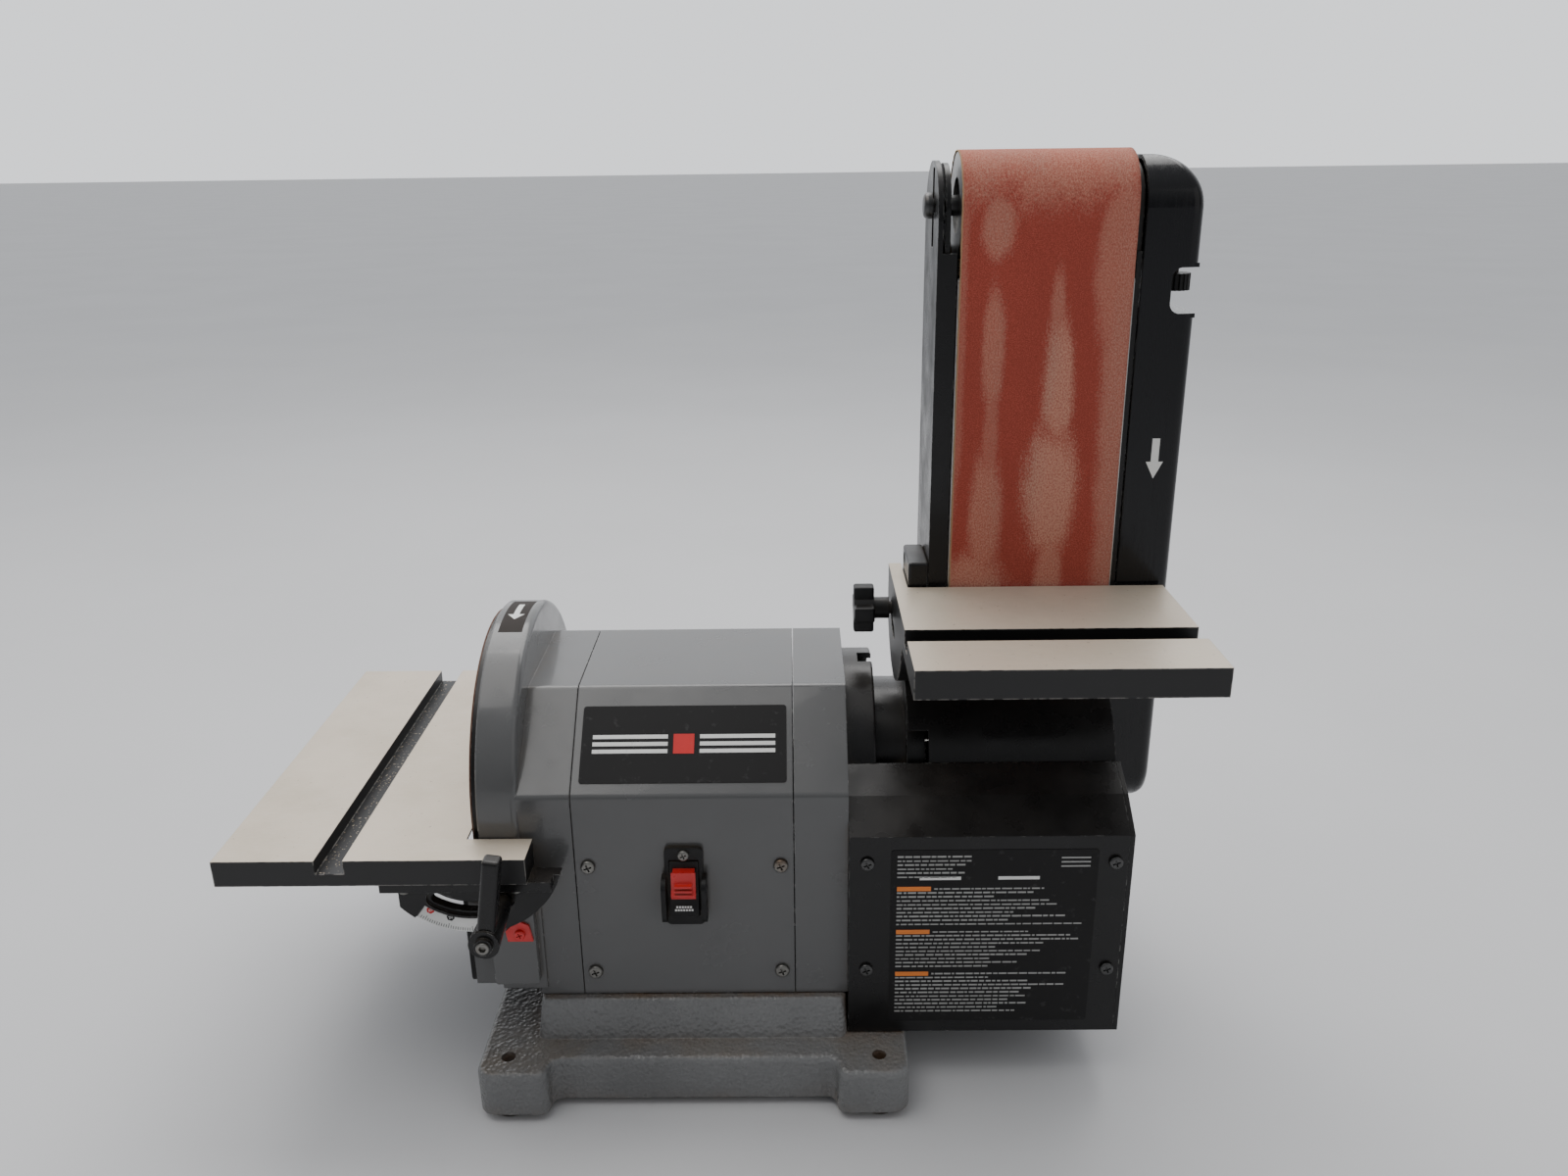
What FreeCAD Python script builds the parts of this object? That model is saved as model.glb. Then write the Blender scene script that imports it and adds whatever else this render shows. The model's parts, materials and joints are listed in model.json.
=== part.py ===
import FreeCAD, Part
import math
import os

# Bench belt and disc sander, in millimetres, +Z up.
# The origin is the centre of the bench bolt pattern on the bench plane.
# +X runs along the motor shaft from the disc to the belt, +Y points to the back.

os.makedirs("parts", exist_ok=True)

# ---- driving dimensions ----
SHAFT_Z = 184.0           # height of the motor shaft above the bench
BELT_W = 101.6            # 4 in belt
BELT_L = 914.4            # 36 in belt
BELT_T = 1.0
DRUM_R = 30.2
DISC_R = 101.6            # 8 in disc
SHAFT_R = 7.5
RUN = 0.05                # radial clearance of a running fit

BELT_X0 = 164.7           # left edge of the belt
BELT_X1 = BELT_X0 + BELT_W
BELT_Y = DRUM_R + RUN     # inside face of each straight run of the belt
IDLER_Z = SHAFT_Z + (BELT_L - 2 * math.pi * (BELT_Y + BELT_T / 2)) / 2

BASE_X, BASE_Y = 136.0, 149.2       # half length and half depth of the base
FOOT_Z, FOOT_TOP = 6.0, 36.5
BOLT_X, BOLT_Y, BOLT_R = 117.7, 132.2, 4.5
RISER_TOP = 62.0
HOUSE_Z = 63.0
HOUSE_X = (-107.0, -71.5, 64.7, 98.8)   # guard wall, seam, seam, belt end
HOUSE_SECTION = ((104.5, HOUSE_Z), (103.7, 206.3), (49.0, 256.2))
WALL = 3.0
SEAM = 0.6

GUARD_R = 106.4
GUARD_X = (-129.5, HOUSE_X[0])
DISC_FACE = -134.0
SKIRT_X, SKIRT_Y, SKIRT_Z = -142.0, 101.2, (69.0, 140.0)

COLLAR_X, COLLAR_R = (HOUSE_X[3], 118.2), 71.0
NECK_R, NECK_END = 51.0, 146.0
ARM_R = 70.0
ARM_X = (138.6, 267.2, 270.3)           # drum housing start, right plate
ARM_PLATE = (151.8, 154.8)              # left side plate
ARM_Y = (-29.2, 41.4)
ARM_BREAK = 519.0
COVER_X, COVER_Z = (271.0, 304.5), (153.0, 572.0)

BOX_X = (HOUSE_X[3], 273.0)
BOX_PROFILE = ((-112.0, 37.6), (-112.0, 182.0), (-89.5, 198.0), (-66.0, 209.0))
BOX_REAR = (112.0, 136.0)

TABLE_T = 17.2
SLOT_W, SLOT_D = 17.4, 9.0
DISC_TABLE_X, DISC_TABLE_Y, DISC_TABLE_Z = (-284.4, -95.8), (-131.2, 151.8), 180.5
DISC_TABLE_SLOT = -213.7
DISC_EDGE = -136.2
DISC_PIVOT = (-134.0, DISC_TABLE_Z)     # x, z
TRUNNION_R, TRUNNION_Y = 59.0, (113.0, 121.0)
LOCK_R, LOCK_ANGLE = 40.5, -62.8        # lock bolt, measured from the disc pivot

BELT_TABLE_X, BELT_TABLE_Y, BELT_TABLE_Z = (130.2, 299.3), (-164.8, -34.2), 315.7
BELT_TABLE_SLOT = -115.0
BELT_PIVOT = (-33.5, BELT_TABLE_Z)      # y, z
EAR_X = 138.5
EAR_R = 48.0
KNOB_YZ = (-12.0, 294.0)
BRACKET_X, BRACKET_Y, BRACKET_Z = (139.1, ARM_PLATE[0]), (-31.5, 9.0), (268.0, 331.0)

V = FreeCAD.Vector
X_AXIS, Y_AXIS, Z_AXIS = V(1, 0, 0), V(0, 1, 0), V(0, 0, 1)


# ---- helpers ----
def box(x0, x1, y0, y1, z0, z1):
    return Part.makeBox(x1 - x0, y1 - y0, z1 - z0, V(x0, y0, z0))


def cyl_x(r, x0, x1, y=0.0, z=SHAFT_Z):
    return Part.makeCylinder(r, x1 - x0, V(x0, y, z), X_AXIS)


def cyl_y(r, y0, y1, x, z):
    return Part.makeCylinder(r, y1 - y0, V(x, y0, z), Y_AXIS)


def cyl_z(r, z0, z1, x, y):
    return Part.makeCylinder(r, z1 - z0, V(x, y, z0), Z_AXIS)


def tube_x(r_out, r_in, x0, x1, y=0.0, z=SHAFT_Z):
    return cyl_x(r_out, x0, x1, y, z).cut(cyl_x(r_in, x0 - 1, x1 + 1, y, z))


def tube_y(r_out, r_in, y0, y1, x, z):
    return cyl_y(r_out, y0, y1, x, z).cut(cyl_y(r_in, y0 - 1, y1 + 1, x, z))


def tube_z(r_out, r_in, z0, z1, x, y):
    return cyl_z(r_out, z0, z1, x, y).cut(cyl_z(r_in, z0 - 1, z1 + 1, x, y))


def extrude(points, push):
    wire = Part.makePolygon(points + [points[0]])
    return Part.Face(wire).extrude(push)


def prism_x(yz, x0, x1):
    return extrude([V(x0, y, z) for y, z in yz], V(x1 - x0, 0, 0))


def prism_y(xz, y0, y1):
    return extrude([V(x, y0, z) for x, z in xz], V(0, y1 - y0, 0))


def prism_z(xy, z0, z1):
    return extrude([V(x, y, z0) for x, y in xy], V(0, 0, z1 - z0))


def join(solids):
    whole = solids[0].multiFuse(solids[1:]) if len(solids) > 1 else solids[0]
    return whole.removeSplitter()


def group(solids):
    return Part.makeCompound(solids)


def rounded(shape, radius, picked):
    """Fillets the edges for which picked(edge) is true."""
    edges = [e for e in shape.Edges if picked(e)]
    return shape.makeFillet(radius, edges)


def along(edge, axis):
    """True for a straight edge that runs along an axis, 0 to 2 for X to Z."""
    if len(edge.Vertexes) != 2 or edge.Curve.TypeId != "Part::GeomLine":
        return False
    step = edge.Vertexes[1].Point - edge.Vertexes[0].Point
    return abs(step[axis]) > 0.999 * step.Length


def at(edge, axis, value, tol=0.05):
    box_ = edge.BoundBox
    low = (box_.XMin, box_.YMin, box_.ZMin)[axis]
    high = (box_.XMax, box_.YMax, box_.ZMax)[axis]
    return abs(low - value) < tol and abs(high - value) < tol


def arc_slot(radius, half, a0, a1, cx, cz, y0, y1):
    """A curved slot in the XZ plane about (cx, cz), angles in degrees from +X."""
    def at_angle(r, a):
        return V(cx + r * math.cos(math.radians(a)), y0, cz + r * math.sin(math.radians(a)))

    middle = (a0 + a1) / 2
    outer, inner = radius + half, radius - half
    edges = [Part.Arc(at_angle(outer, a0), at_angle(outer, middle), at_angle(outer, a1)).toShape()]
    edges.append(Part.makeLine(at_angle(outer, a1), at_angle(inner, a1)))
    edges.append(Part.Arc(at_angle(inner, a1), at_angle(inner, middle), at_angle(inner, a0)).toShape())
    edges.append(Part.makeLine(at_angle(inner, a0), at_angle(outer, a0)))
    slot = Part.Face(Part.Wire(edges)).extrude(V(0, y1 - y0, 0))
    ends = [cyl_y(half, y0, y1, at_angle(radius, a).x, at_angle(radius, a).z) for a in (a0, a1)]
    return slot.multiFuse(ends)


def to_yz(shape):
    """Turns a shape drawn in XZ with depth along Y into YZ with depth along X."""
    matrix = FreeCAD.Matrix(0, 1, 0, 0, 1, 0, 0, 0, 0, 0, 1, 0, 0, 0, 0, 1)
    return shape.transformGeometry(matrix)


def screw(head_r, head_h, shank_r, length, cross=True):
    """A pan-head screw along +Z with its head's underside at the origin."""
    head = Part.makeCylinder(head_r, head_h)
    head = rounded(head, head_h * 0.55, lambda e: at(e, 2, head_h))
    body = head.fuse(Part.makeCylinder(shank_r, length, V(0, 0, -length)))
    if cross:
        bar = head_r * 1.1
        deep = head_h * 0.6
        for angle in (0, 90):
            slit = Part.makeBox(bar, bar * 0.2, deep, V(-bar / 2, -bar * 0.1, head_h - deep))
            slit.rotate(V(0, 0, 0), Z_AXIS, angle + 20)
            body = body.cut(slit)
    return body.removeSplitter()


def hex_bolt(flat, head_h, shank_r, length):
    """A hexagon bolt along +Z with its head's underside at the origin."""
    radius = flat / math.sqrt(3)
    corners = [V(radius * math.cos(math.radians(60 * i)), radius * math.sin(math.radians(60 * i)), 0)
               for i in range(6)]
    head = extrude(corners, V(0, 0, head_h))
    chamfer = Part.makeCone(flat / 2 + head_h, flat / 2 * 0.95, head_h)
    shank = Part.makeCylinder(shank_r, length, V(0, 0, -length))
    return head.common(chamfer).fuse(shank).removeSplitter()


def socket_screw(head_r, head_h, shank_r, length):
    head = Part.makeCylinder(head_r, head_h)
    head = rounded(head, 0.6, lambda e: at(e, 2, head_h))
    size = head_r * 0.55
    corners = [V(size * math.cos(math.radians(60 * i)), size * math.sin(math.radians(60 * i)), head_h * 0.4)
               for i in range(6)]
    body = head.fuse(Part.makeCylinder(shank_r, length, V(0, 0, -length)))
    return body.cut(extrude(corners, V(0, 0, head_h))).removeSplitter()


def placed(shape, point, direction):
    copy = shape.copy()
    copy.Placement = FreeCAD.Placement(V(*point), FreeCAD.Rotation(Z_AXIS, V(*direction)))
    return copy


def save(name, shape):
    shape.exportStep("parts/" + name + ".step")


# ---- base ----
def waist_cut(side):
    """Area removed from one long side of the base between its feet, ended by S curves."""
    radius, foot_x = 7.15, 98.0
    diag = radius * math.sqrt(0.5)

    def p(x, y):
        return V(x, side * y, FOOT_Z)

    edges = [Part.makeLine(p(-foot_x, BASE_Y + 5), p(foot_x, BASE_Y + 5))]
    for s in (-1, 1):
        turn_x, end_x = foot_x - radius, foot_x - 2 * radius
        turn_y, end_y = BASE_Y - radius, BASE_Y - 2 * radius
        convex = (p(s * foot_x, BASE_Y), p(s * (foot_x - diag), turn_y + diag), p(s * turn_x, turn_y))
        concave = (p(s * turn_x, turn_y), p(s * (end_x + diag), turn_y - diag), p(s * end_x, end_y))
        edges += [Part.Arc(*convex).toShape(), Part.Arc(*concave).toShape()]
        edges.append(Part.makeLine(p(s * foot_x, BASE_Y + 5), p(s * foot_x, BASE_Y)))
    edges.append(Part.makeLine(p(-end_x, end_y), p(end_x, end_y)))
    wire = Part.Wire(Part.__sortEdges__(edges))
    return Part.Face(wire).extrude(V(0, 0, FOOT_TOP - FOOT_Z))


def riser(shrink, bottom, top):
    x0, x1, draft = -102.4, 98.4, 7.0
    y_foot = 116.2

    def ring(z):
        rise = (z - FOOT_TOP) / (RISER_TOP - FOOT_TOP)
        lean = draft * rise
        a, b = x0 + lean * 0.4 + shrink, x1 - lean * 0.1 - shrink
        y = y_foot - lean - shrink
        return Part.makePolygon([V(a, -y, z), V(b, -y, z), V(b, y, z), V(a, y, z), V(a, -y, z)])

    return Part.makeLoft([ring(bottom), ring(top)], True, True)


def base_casting():
    slab = box(-BASE_X, BASE_X, -BASE_Y, BASE_Y, FOOT_Z, FOOT_TOP)
    slab = slab.cut(waist_cut(-1)).cut(waist_cut(1))
    slab = rounded(slab, 11.0, lambda e: along(e, 2) and abs(abs(e.BoundBox.XMin) - BASE_X) < 0.1)
    slab = rounded(slab, 4.0, lambda e: at(e, 2, FOOT_TOP))
    tower = riser(0.0, FOOT_TOP - 4, RISER_TOP)
    tower = rounded(tower, 6.0, lambda e: e.BoundBox.ZLength > 20)
    tower = rounded(tower, 2.5, lambda e: at(e, 2, RISER_TOP))
    whole = slab.fuse(tower).removeSplitter()
    wall = 7.0
    pocket = box(-BASE_X + wall, BASE_X - wall, -118, 118, FOOT_Z - 1, FOOT_TOP - 8)
    whole = whole.cut(pocket).cut(riser(wall, FOOT_TOP - 12, RISER_TOP - 9))
    for sx in (-1, 1):
        for sy in (-1, 1):
            whole = whole.cut(cyl_z(BOLT_R, FOOT_Z - 1, FOOT_TOP + 1, sx * BOLT_X, sy * BOLT_Y))
    for x in (-60, 60):
        for y in (-70, 70):
            whole = whole.cut(cyl_z(4.2, RISER_TOP - 20, RISER_TOP + 1, x, y))
    return whole


def rubber_feet():
    feet = []
    for sx in (-1, 1):
        for sy in (-1, 1):
            foot = tube_z(13.0, BOLT_R, 0, FOOT_Z, sx * BOLT_X, sy * BOLT_Y)
            feet.append(rounded(foot, 1.5, lambda e: at(e, 2, 0) and e.BoundBox.XLength > 20))
    return group(feet)


def base_bolts():
    return [placed(hex_bolt(13, 5, 4.0, 13.5), (x, y, RISER_TOP - 9), (0, 0, -1))
            for x in (-60, 60) for y in (-70, 70)]


# ---- motor housing ----
def section(shrink=0.0, down=0.0):
    """Half-octagon outline of the housing, walls of it moved in by shrink."""
    (y0, z0), (y1, z1), (y2, z2) = HOUSE_SECTION
    slope = math.atan2(z2 - z1, y1 - y2)
    top = z2 - shrink
    side = y1 - shrink
    knee = z1 - shrink * math.tan(slope / 2)
    flat = y2 - shrink * math.tan(slope / 2)
    foot = y0 - shrink
    half = [(foot, z0 - down), (side, knee), (flat, top)]
    return half + [(-y, z) for y, z in reversed(half)]


def housing_shell(x0, x1):
    outer = prism_x(section(), x0, x1)
    outer = rounded(outer, 5.0, lambda e: along(e, 0) and e.BoundBox.ZMin > HOUSE_Z + 10)
    return outer.cut(prism_x(section(WALL, 1.0), x0 - 1, x1 + 1))


SCREW_Z = (158.2, 80.5)
SCREW_INSET = 8.0


def screw_points():
    return [(x, side, z) for x in (HOUSE_X[1] + SCREW_INSET, HOUSE_X[2] - SCREW_INSET)
            for side in (-1, 1) for z in SCREW_Z]


def wall_y(z):
    (y0, z0), (y1, z1), _ = HOUSE_SECTION
    return y0 + (y1 - y0) * (z - z0) / (z1 - z0)


SWITCH_X, SWITCH_Z = (-17.5, 10.5), (117.5, 172.5)
SWITCH_MID = (-3.5, 145.0)


def motor_cover():
    shell = housing_shell(HOUSE_X[1], HOUSE_X[2])
    for x, side, z in screw_points():
        shell = shell.cut(cyl_y(2.2, *sorted((side * 90, side * 110)), x, z))
    opening = box(SWITCH_X[0] + 3, SWITCH_X[1] - 3, -110, -90, SWITCH_Z[0] + 8, SWITCH_Z[1] - 8)
    return shell.cut(opening).cut(cyl_y(7.0, 90, 110, -45, 85))


def housing_screws():
    made = []
    for x, side, z in screw_points():
        made.append(placed(screw(4.6, 2.8, 1.9, 6.0), (x, side * (wall_y(z) + 0.05), z), (0, side, 0)))
    made.append(switch_screw())
    return group(made)


def disc_end_housing():
    seam = HOUSE_X[1] - SEAM
    shell = housing_shell(HOUSE_X[0], seam)
    ring = cyl_x(GUARD_R, GUARD_X[0], GUARD_X[1] + WALL)
    ring = rounded(ring, 4.0, lambda e: at(e, 0, GUARD_X[1] + WALL))
    ring = rounded(ring, 1.2, lambda e: at(e, 0, GUARD_X[0]))
    skirt = box(SKIRT_X, HOUSE_X[0] + WALL, -SKIRT_Y, SKIRT_Y, *SKIRT_Z)
    gusset = prism_y([(GUARD_X[0] + 6, 172), (-117, 167), (-95, 143), (-95, SKIRT_Z[0]),
                      (GUARD_X[0] + 6, SKIRT_Z[0])], -GUARD_R, GUARD_R)
    blocks = [box(-126.5, -98.3, *sorted((s * 112.9, s * 98)), 77, 152) for s in (-1, 1)]
    blocks = [rounded(b, 2.0, lambda e: along(e, 1)) for b in blocks]
    whole = join([shell, ring, skirt, gusset] + blocks)
    hollow = cyl_x(GUARD_R - WALL, GUARD_X[0] - 20, GUARD_X[1])
    inner_y = SKIRT_Y - WALL
    chamber = box(SKIRT_X - 1, GUARD_X[1], -inner_y, inner_y, SKIRT_Z[0] + WALL, SKIRT_Z[1] + 1)
    inside = prism_x(section(WALL, 1.0), GUARD_X[1] + WALL, seam + 1)
    whole = whole.cut(hollow).cut(chamber).cut(inside)
    whole = whole.cut(cyl_x(16.0, HOUSE_X[0] - 1, HOUSE_X[0] + WALL + 1))
    whole = whole.cut(box(SKIRT_X - 1, -100, -130, 130, HOUSE_Z - 5, SKIRT_Z[0]))
    port = cyl_y(18.0, 95, 132, PORT_X, PORT_Z).cut(cyl_y(DISC_PORT_R, 90, 133, PORT_X, PORT_Z))
    whole = whole.cut(cyl_y(DISC_PORT_R, 90, 133, PORT_X, PORT_Z)).fuse(port)
    whole = whole.cut(box(SKIRT_X, HOUSE_X[0], 60, SKIRT_Y - WALL, SKIRT_Z[0] + WALL, SKIRT_Z[1]))
    for s in (-1, 1):
        x, z = lock_point()
        whole = whole.cut(cyl_y(3.05, *sorted((s * 90, s * 120)), x, z))
        whole = whole.cut(cyl_y(1.7, *sorted((s * 104, s * 120)), *POINTER_SCREW))
    return whole.removeSplitter()


PORT_X, PORT_Z, DISC_PORT_R = -123.8, 98.0, 16.0
POINTER_SCREW = (-107.5, 116.0)


def lock_point():
    angle = math.radians(LOCK_ANGLE)
    return (DISC_PIVOT[0] + LOCK_R * math.cos(angle), DISC_PIVOT[1] + LOCK_R * math.sin(angle))


def lower_disc_cover():
    plate = box(SKIRT_X - 3, SKIRT_X, -SKIRT_Y, SKIRT_Y, *SKIRT_Z)
    plate = rounded(plate, 6.0, lambda e: along(e, 0))
    for y in (-SKIRT_Y + 1.5, SKIRT_Y - 1.5):
        plate = plate.cut(box(SKIRT_X - 4, SKIRT_X + 1, y - 0.5, y + 0.5, SKIRT_Z[0] + 30, SKIRT_Z[0] + 31))
    return plate


def belt_end_housing():
    start = HOUSE_X[2] + SEAM
    shell = housing_shell(start, HOUSE_X[3])
    wall = prism_x(section(WALL + 0.0), HOUSE_X[3] - WALL, HOUSE_X[3])
    whole = join([shell, wall])
    return whole.cut(cyl_x(25.0, HOUSE_X[3] - WALL - 1, HOUSE_X[3] + 1))


# ---- motor inside the housing ----
CAN_X, CAN_R = (-56.0, 46.0), 66.0
STACK_X, STACK_R = (-35.0, 25.0), 31.0
BEARING_R, BEARING_W = 17.5, 11.0


def motor_can():
    return tube_x(CAN_R, CAN_R - 2.5, *CAN_X)


def motor_cradle():
    plate = box(-66, 66, -78, 78, RISER_TOP, RISER_TOP + 4)
    ribs = [box(x, x + 5, -52, 52, RISER_TOP + 4, 150) for x in (CAN_X[0] + 8, CAN_X[1] - 13)]
    whole = join([plate] + ribs).cut(cyl_x(CAN_R, CAN_X[0] - 5, CAN_X[1] + 5))
    for x in (-60, 60):
        for y in (-70, 70):
            whole = whole.cut(cyl_z(4.0, RISER_TOP - 1, RISER_TOP + 5, x, y))
    return whole


def bearing(x0, y=0.0, z=SHAFT_Z, r_out=BEARING_R, r_in=SHAFT_R + RUN, width=BEARING_W, balls=8):
    """Ball bearing: outer ring, inner ring, and balls in their track."""
    pitch = (r_out + r_in) / 2
    ball_r = (r_out - r_in) * 0.28
    mid = x0 + width / 2
    outer = tube_x(r_out, pitch + ball_r * 0.55, x0, x0 + width, y, z)
    inner = tube_x(pitch - ball_r * 0.55, r_in, x0, x0 + width, y, z)
    track = Part.makeTorus(pitch, ball_r + 0.05, V(mid, y, z), X_AXIS)
    solids = [outer.cut(track), inner.cut(track)]
    for i in range(balls):
        angle = 2 * math.pi * i / balls
        centre = V(mid, y + pitch * math.cos(angle), z + pitch * math.sin(angle))
        solids.append(Part.makeSphere(ball_r, centre))
    return solids


LEFT_SEAT, RIGHT_SEAT = -69.0, 48.0


def end_bell(x_can, x_seat, outward):
    """Cast end plate with its bearing hub; outward is -1 on the disc side."""
    x0, x1 = sorted((x_can, x_can + outward * 5))
    plate = cyl_x(CAN_R, x0, x1)
    seat0, seat1 = x_seat, x_seat + BEARING_W
    hub0, hub1 = min(seat0 - 2, x0), max(seat1 + 2, x1)
    hub = cyl_x(BEARING_R + 5, hub0, hub1)
    whole = plate.fuse(hub).cut(cyl_x(SHAFT_R + 3, hub0 - 1, hub1 + 1))
    mouth = cyl_x(BEARING_R, seat0, seat1 + 30) if outward < 0 else cyl_x(BEARING_R, seat0 - 30, seat1)
    whole = whole.cut(mouth)
    for i in range(6):
        a = math.radians(60 * i)
        whole = whole.cut(cyl_x(9.0, x0 - 1, x1 + 1, 43 * math.cos(a), SHAFT_Z + 43 * math.sin(a)))
    return whole.removeSplitter()


def stator_core():
    core = tube_x(CAN_R - 2.5, STACK_R, *STACK_X)
    for i in range(24):
        slot = box(STACK_X[0] - 1, STACK_X[1] + 1, -2.2, 2.2, STACK_R + 2, STACK_R + 16)
        mouth = box(STACK_X[0] - 1, STACK_X[1] + 1, -0.8, 0.8, STACK_R - 1, STACK_R + 3)
        cutter = slot.fuse(mouth)
        cutter.rotate(V(0, 0, 0), X_AXIS, 15 * i)
        cutter.translate(V(0, 0, SHAFT_Z))
        core = core.cut(cutter)
    return core


def stator_windings():
    coils = []
    for x0, x1 in ((STACK_X[0] - 14, STACK_X[0]), (STACK_X[1], STACK_X[1] + 14)):
        coil = tube_x(STACK_R + 20, STACK_R + 2, x0, x1)
        coils.append(rounded(coil, 5.0, lambda e: True))
    return group(coils)


def rotor():
    core = tube_x(STACK_R - 0.6, 9.0, *STACK_X)
    rings = [tube_x(STACK_R - 2, STACK_R - 11, *pair)
             for pair in ((STACK_X[0] - 6, STACK_X[0]), (STACK_X[1], STACK_X[1] + 6))]
    return join([core] + rings)


FAN_X = (-97.0, -84.0)


def cooling_fan():
    hub = tube_x(13.0, SHAFT_R, FAN_X[0], FAN_X[1])
    disc = tube_x(46.0, 12.0, FAN_X[0], FAN_X[0] + 2)
    blades = []
    for i in range(9):
        blade = box(FAN_X[0] + 1, FAN_X[1], -0.9, 0.9, 12, 46)
        blade.rotate(V(0, 0, 0), X_AXIS, 40 * i)
        blade.translate(V(0, 0, SHAFT_Z))
        blades.append(blade)
    return join([hub, disc] + blades)


def motor_shaft():
    long = cyl_x(SHAFT_R, DISC_HUB_X[0], BELT_X1 - 3)
    thick = cyl_x(9.0, *STACK_X)
    return join([long, thick])


def capacitor():
    can = cyl_x(17.0, -50, 20, 80, 96)
    can = rounded(can, 2.0, lambda e: True)
    posts = [cyl_x(1.5, 19, 25, 80, 96 + dz) for dz in (-6, 6)]
    return join([can] + posts)


def capacitor_clip():
    band = tube_x(18.5, 17.05, -22, -8, 80, 96)
    leg = box(-22, -8, 78, 98, RISER_TOP + 4, RISER_TOP + 5.5)
    post = box(-22, -8, 78, 82, RISER_TOP + 5.5, 78.5)
    return join([band, leg, post])


# ---- switch, labels and cord ----
FACE_Y = -105.0


def switch_frame():
    x0, x1 = SWITCH_X
    z0, z1 = SWITCH_Z
    plate = box(x0 + 2, x1 - 2, FACE_Y - 2.4, FACE_Y, z0, z1)
    plate = rounded(plate, 3.0, lambda e: along(e, 1))
    ears = []
    for x in (x0, x1 - 3):
        ear = box(x, x + 3, FACE_Y - 12, FACE_Y, z0 + 5, z0 + 36)
        ears.append(rounded(ear, 7.0, lambda e: along(e, 0) and e.BoundBox.YMin < FACE_Y - 10))
    body = box(x0 + 3.2, x1 - 3.2, FACE_Y, FACE_Y + 34, z0 + 10, z1 - 10)
    whole = join([plate, body] + ears)
    whole = whole.cut(cyl_x(ROCKER_PIN_R + RUN, x0, x1, *ROCKER_YZ))
    whole = whole.cut(box(ROCKER_X[0] - 0.3, ROCKER_X[1] + 0.3, FACE_Y - 3, FACE_Y + 14,
                          ROCKER_Z[0] - 0.3, ROCKER_Z[1] + 0.3))
    return whole.cut(cyl_y(1.8, FACE_Y - 3, FACE_Y + 1, SWITCH_MID[0], z1 - 4.5))


ROCKER_X, ROCKER_Z = (-12.5, 5.5), (124.4, 164.0)
ROCKER_YZ = (FACE_Y + 4.0, SWITCH_MID[1])       # the rocker's axis
ROCKER_PIN_R = 1.5
KEY_X, KEY_Z = (-10.5, 3.5), (142.0, 159.0)


def switch_rocker():
    """Two-sided rocker on a pin along X; its lower half stands out when off."""
    y, z = ROCKER_YZ
    profile = [(y + 6, z - 5), (y + 6, z + 5), (y - 2, z + 18.0), (y - 6.6, z + 18.0),
               (y - 9.0, z), (y - 12.5, z - 18.0), (y - 1, z - 18.0)]
    rocker = prism_x(profile, *ROCKER_X)
    rocker = rounded(rocker, 1.0, lambda e: along(e, 0) and e.BoundBox.YMin < FACE_Y - 1)
    pin = cyl_x(ROCKER_PIN_R, ROCKER_X[0] - 1.2, ROCKER_X[1] + 1.2, y, z)
    return rocker.fuse(pin).cut(box(*KEY_X, y - 14, y - 2.5, *KEY_Z))


def safety_key():
    """Pull-out key: a ribbed cap over a tongue in the rocker's slot."""
    y = ROCKER_YZ[0]
    tongue = box(KEY_X[0] + 0.2, KEY_X[1] - 0.2, y - 12, y - 2.7, KEY_Z[0] + 0.2, KEY_Z[1] - 0.2)
    cap_profile = [(y - 12, KEY_Z[0] + 0.2), (y - 12, KEY_Z[1] - 0.2), (y - 12.6, KEY_Z[1] - 0.2),
                   (y - 14.2, SWITCH_MID[1] + 3), (y - 16.4, KEY_Z[0] + 3), (y - 15.6, KEY_Z[0] + 0.2)]
    cap = prism_x(cap_profile, KEY_X[0] - 0.6, KEY_X[1] + 0.6)
    bottoms = [KEY_Z[0] + 2.5 + 3 * i for i in range(3)]
    ribs = [box(KEY_X[0] + 1.5, KEY_X[1] - 1.5, y - 17.2, y - 13, z, z + 1.4) for z in bottoms]
    return join([tongue, cap] + ribs)


def switch_screw():
    return placed(screw(3.6, 2.2, 1.6, 3.0), (SWITCH_MID[0], FACE_Y - 2.42, SWITCH_Z[1] - 4.5), (0, -1, 0))


PLATE_T = 0.4


def slope_frame():
    """Point, upward direction and outward normal of the front slope of the housing."""
    (_, _), (y1, z1), (y2, z2) = HOUSE_SECTION
    up = V(0, y1 - y2, z2 - z1)
    length = up.Length
    up.normalize()
    normal = V(0, -up.z, up.y)
    return V(0, -y1, z1), up, normal, length


def nameplate():
    start, up, normal, length = slope_frame()
    low, high = start + up * (0.12 * length), start + up * (0.81 * length)
    x0, x1 = -67.0, 61.0
    corners = [low + V(x0, 0, 0), low + V(x1, 0, 0), high + V(x1, 0, 0), high + V(x0, 0, 0)]
    corners = [c + normal * 0.02 for c in corners]
    plate = extrude(corners, normal * PLATE_T)
    return rounded(plate, 2.0, lambda e: abs(e.Length - PLATE_T) < 0.01)


LABEL_X, LABEL_Z = (124.5, 252.0), (46.0, 173.0)


def rating_label():
    plate = box(*LABEL_X, BOX_PROFILE[0][0] - 0.3, BOX_PROFILE[0][0] - 0.02, *LABEL_Z)
    return rounded(plate, 2.0, lambda e: along(e, 1))


CORD_X, CORD_Z, CORD_R = -45.0, 85.0, 3.6


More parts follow.
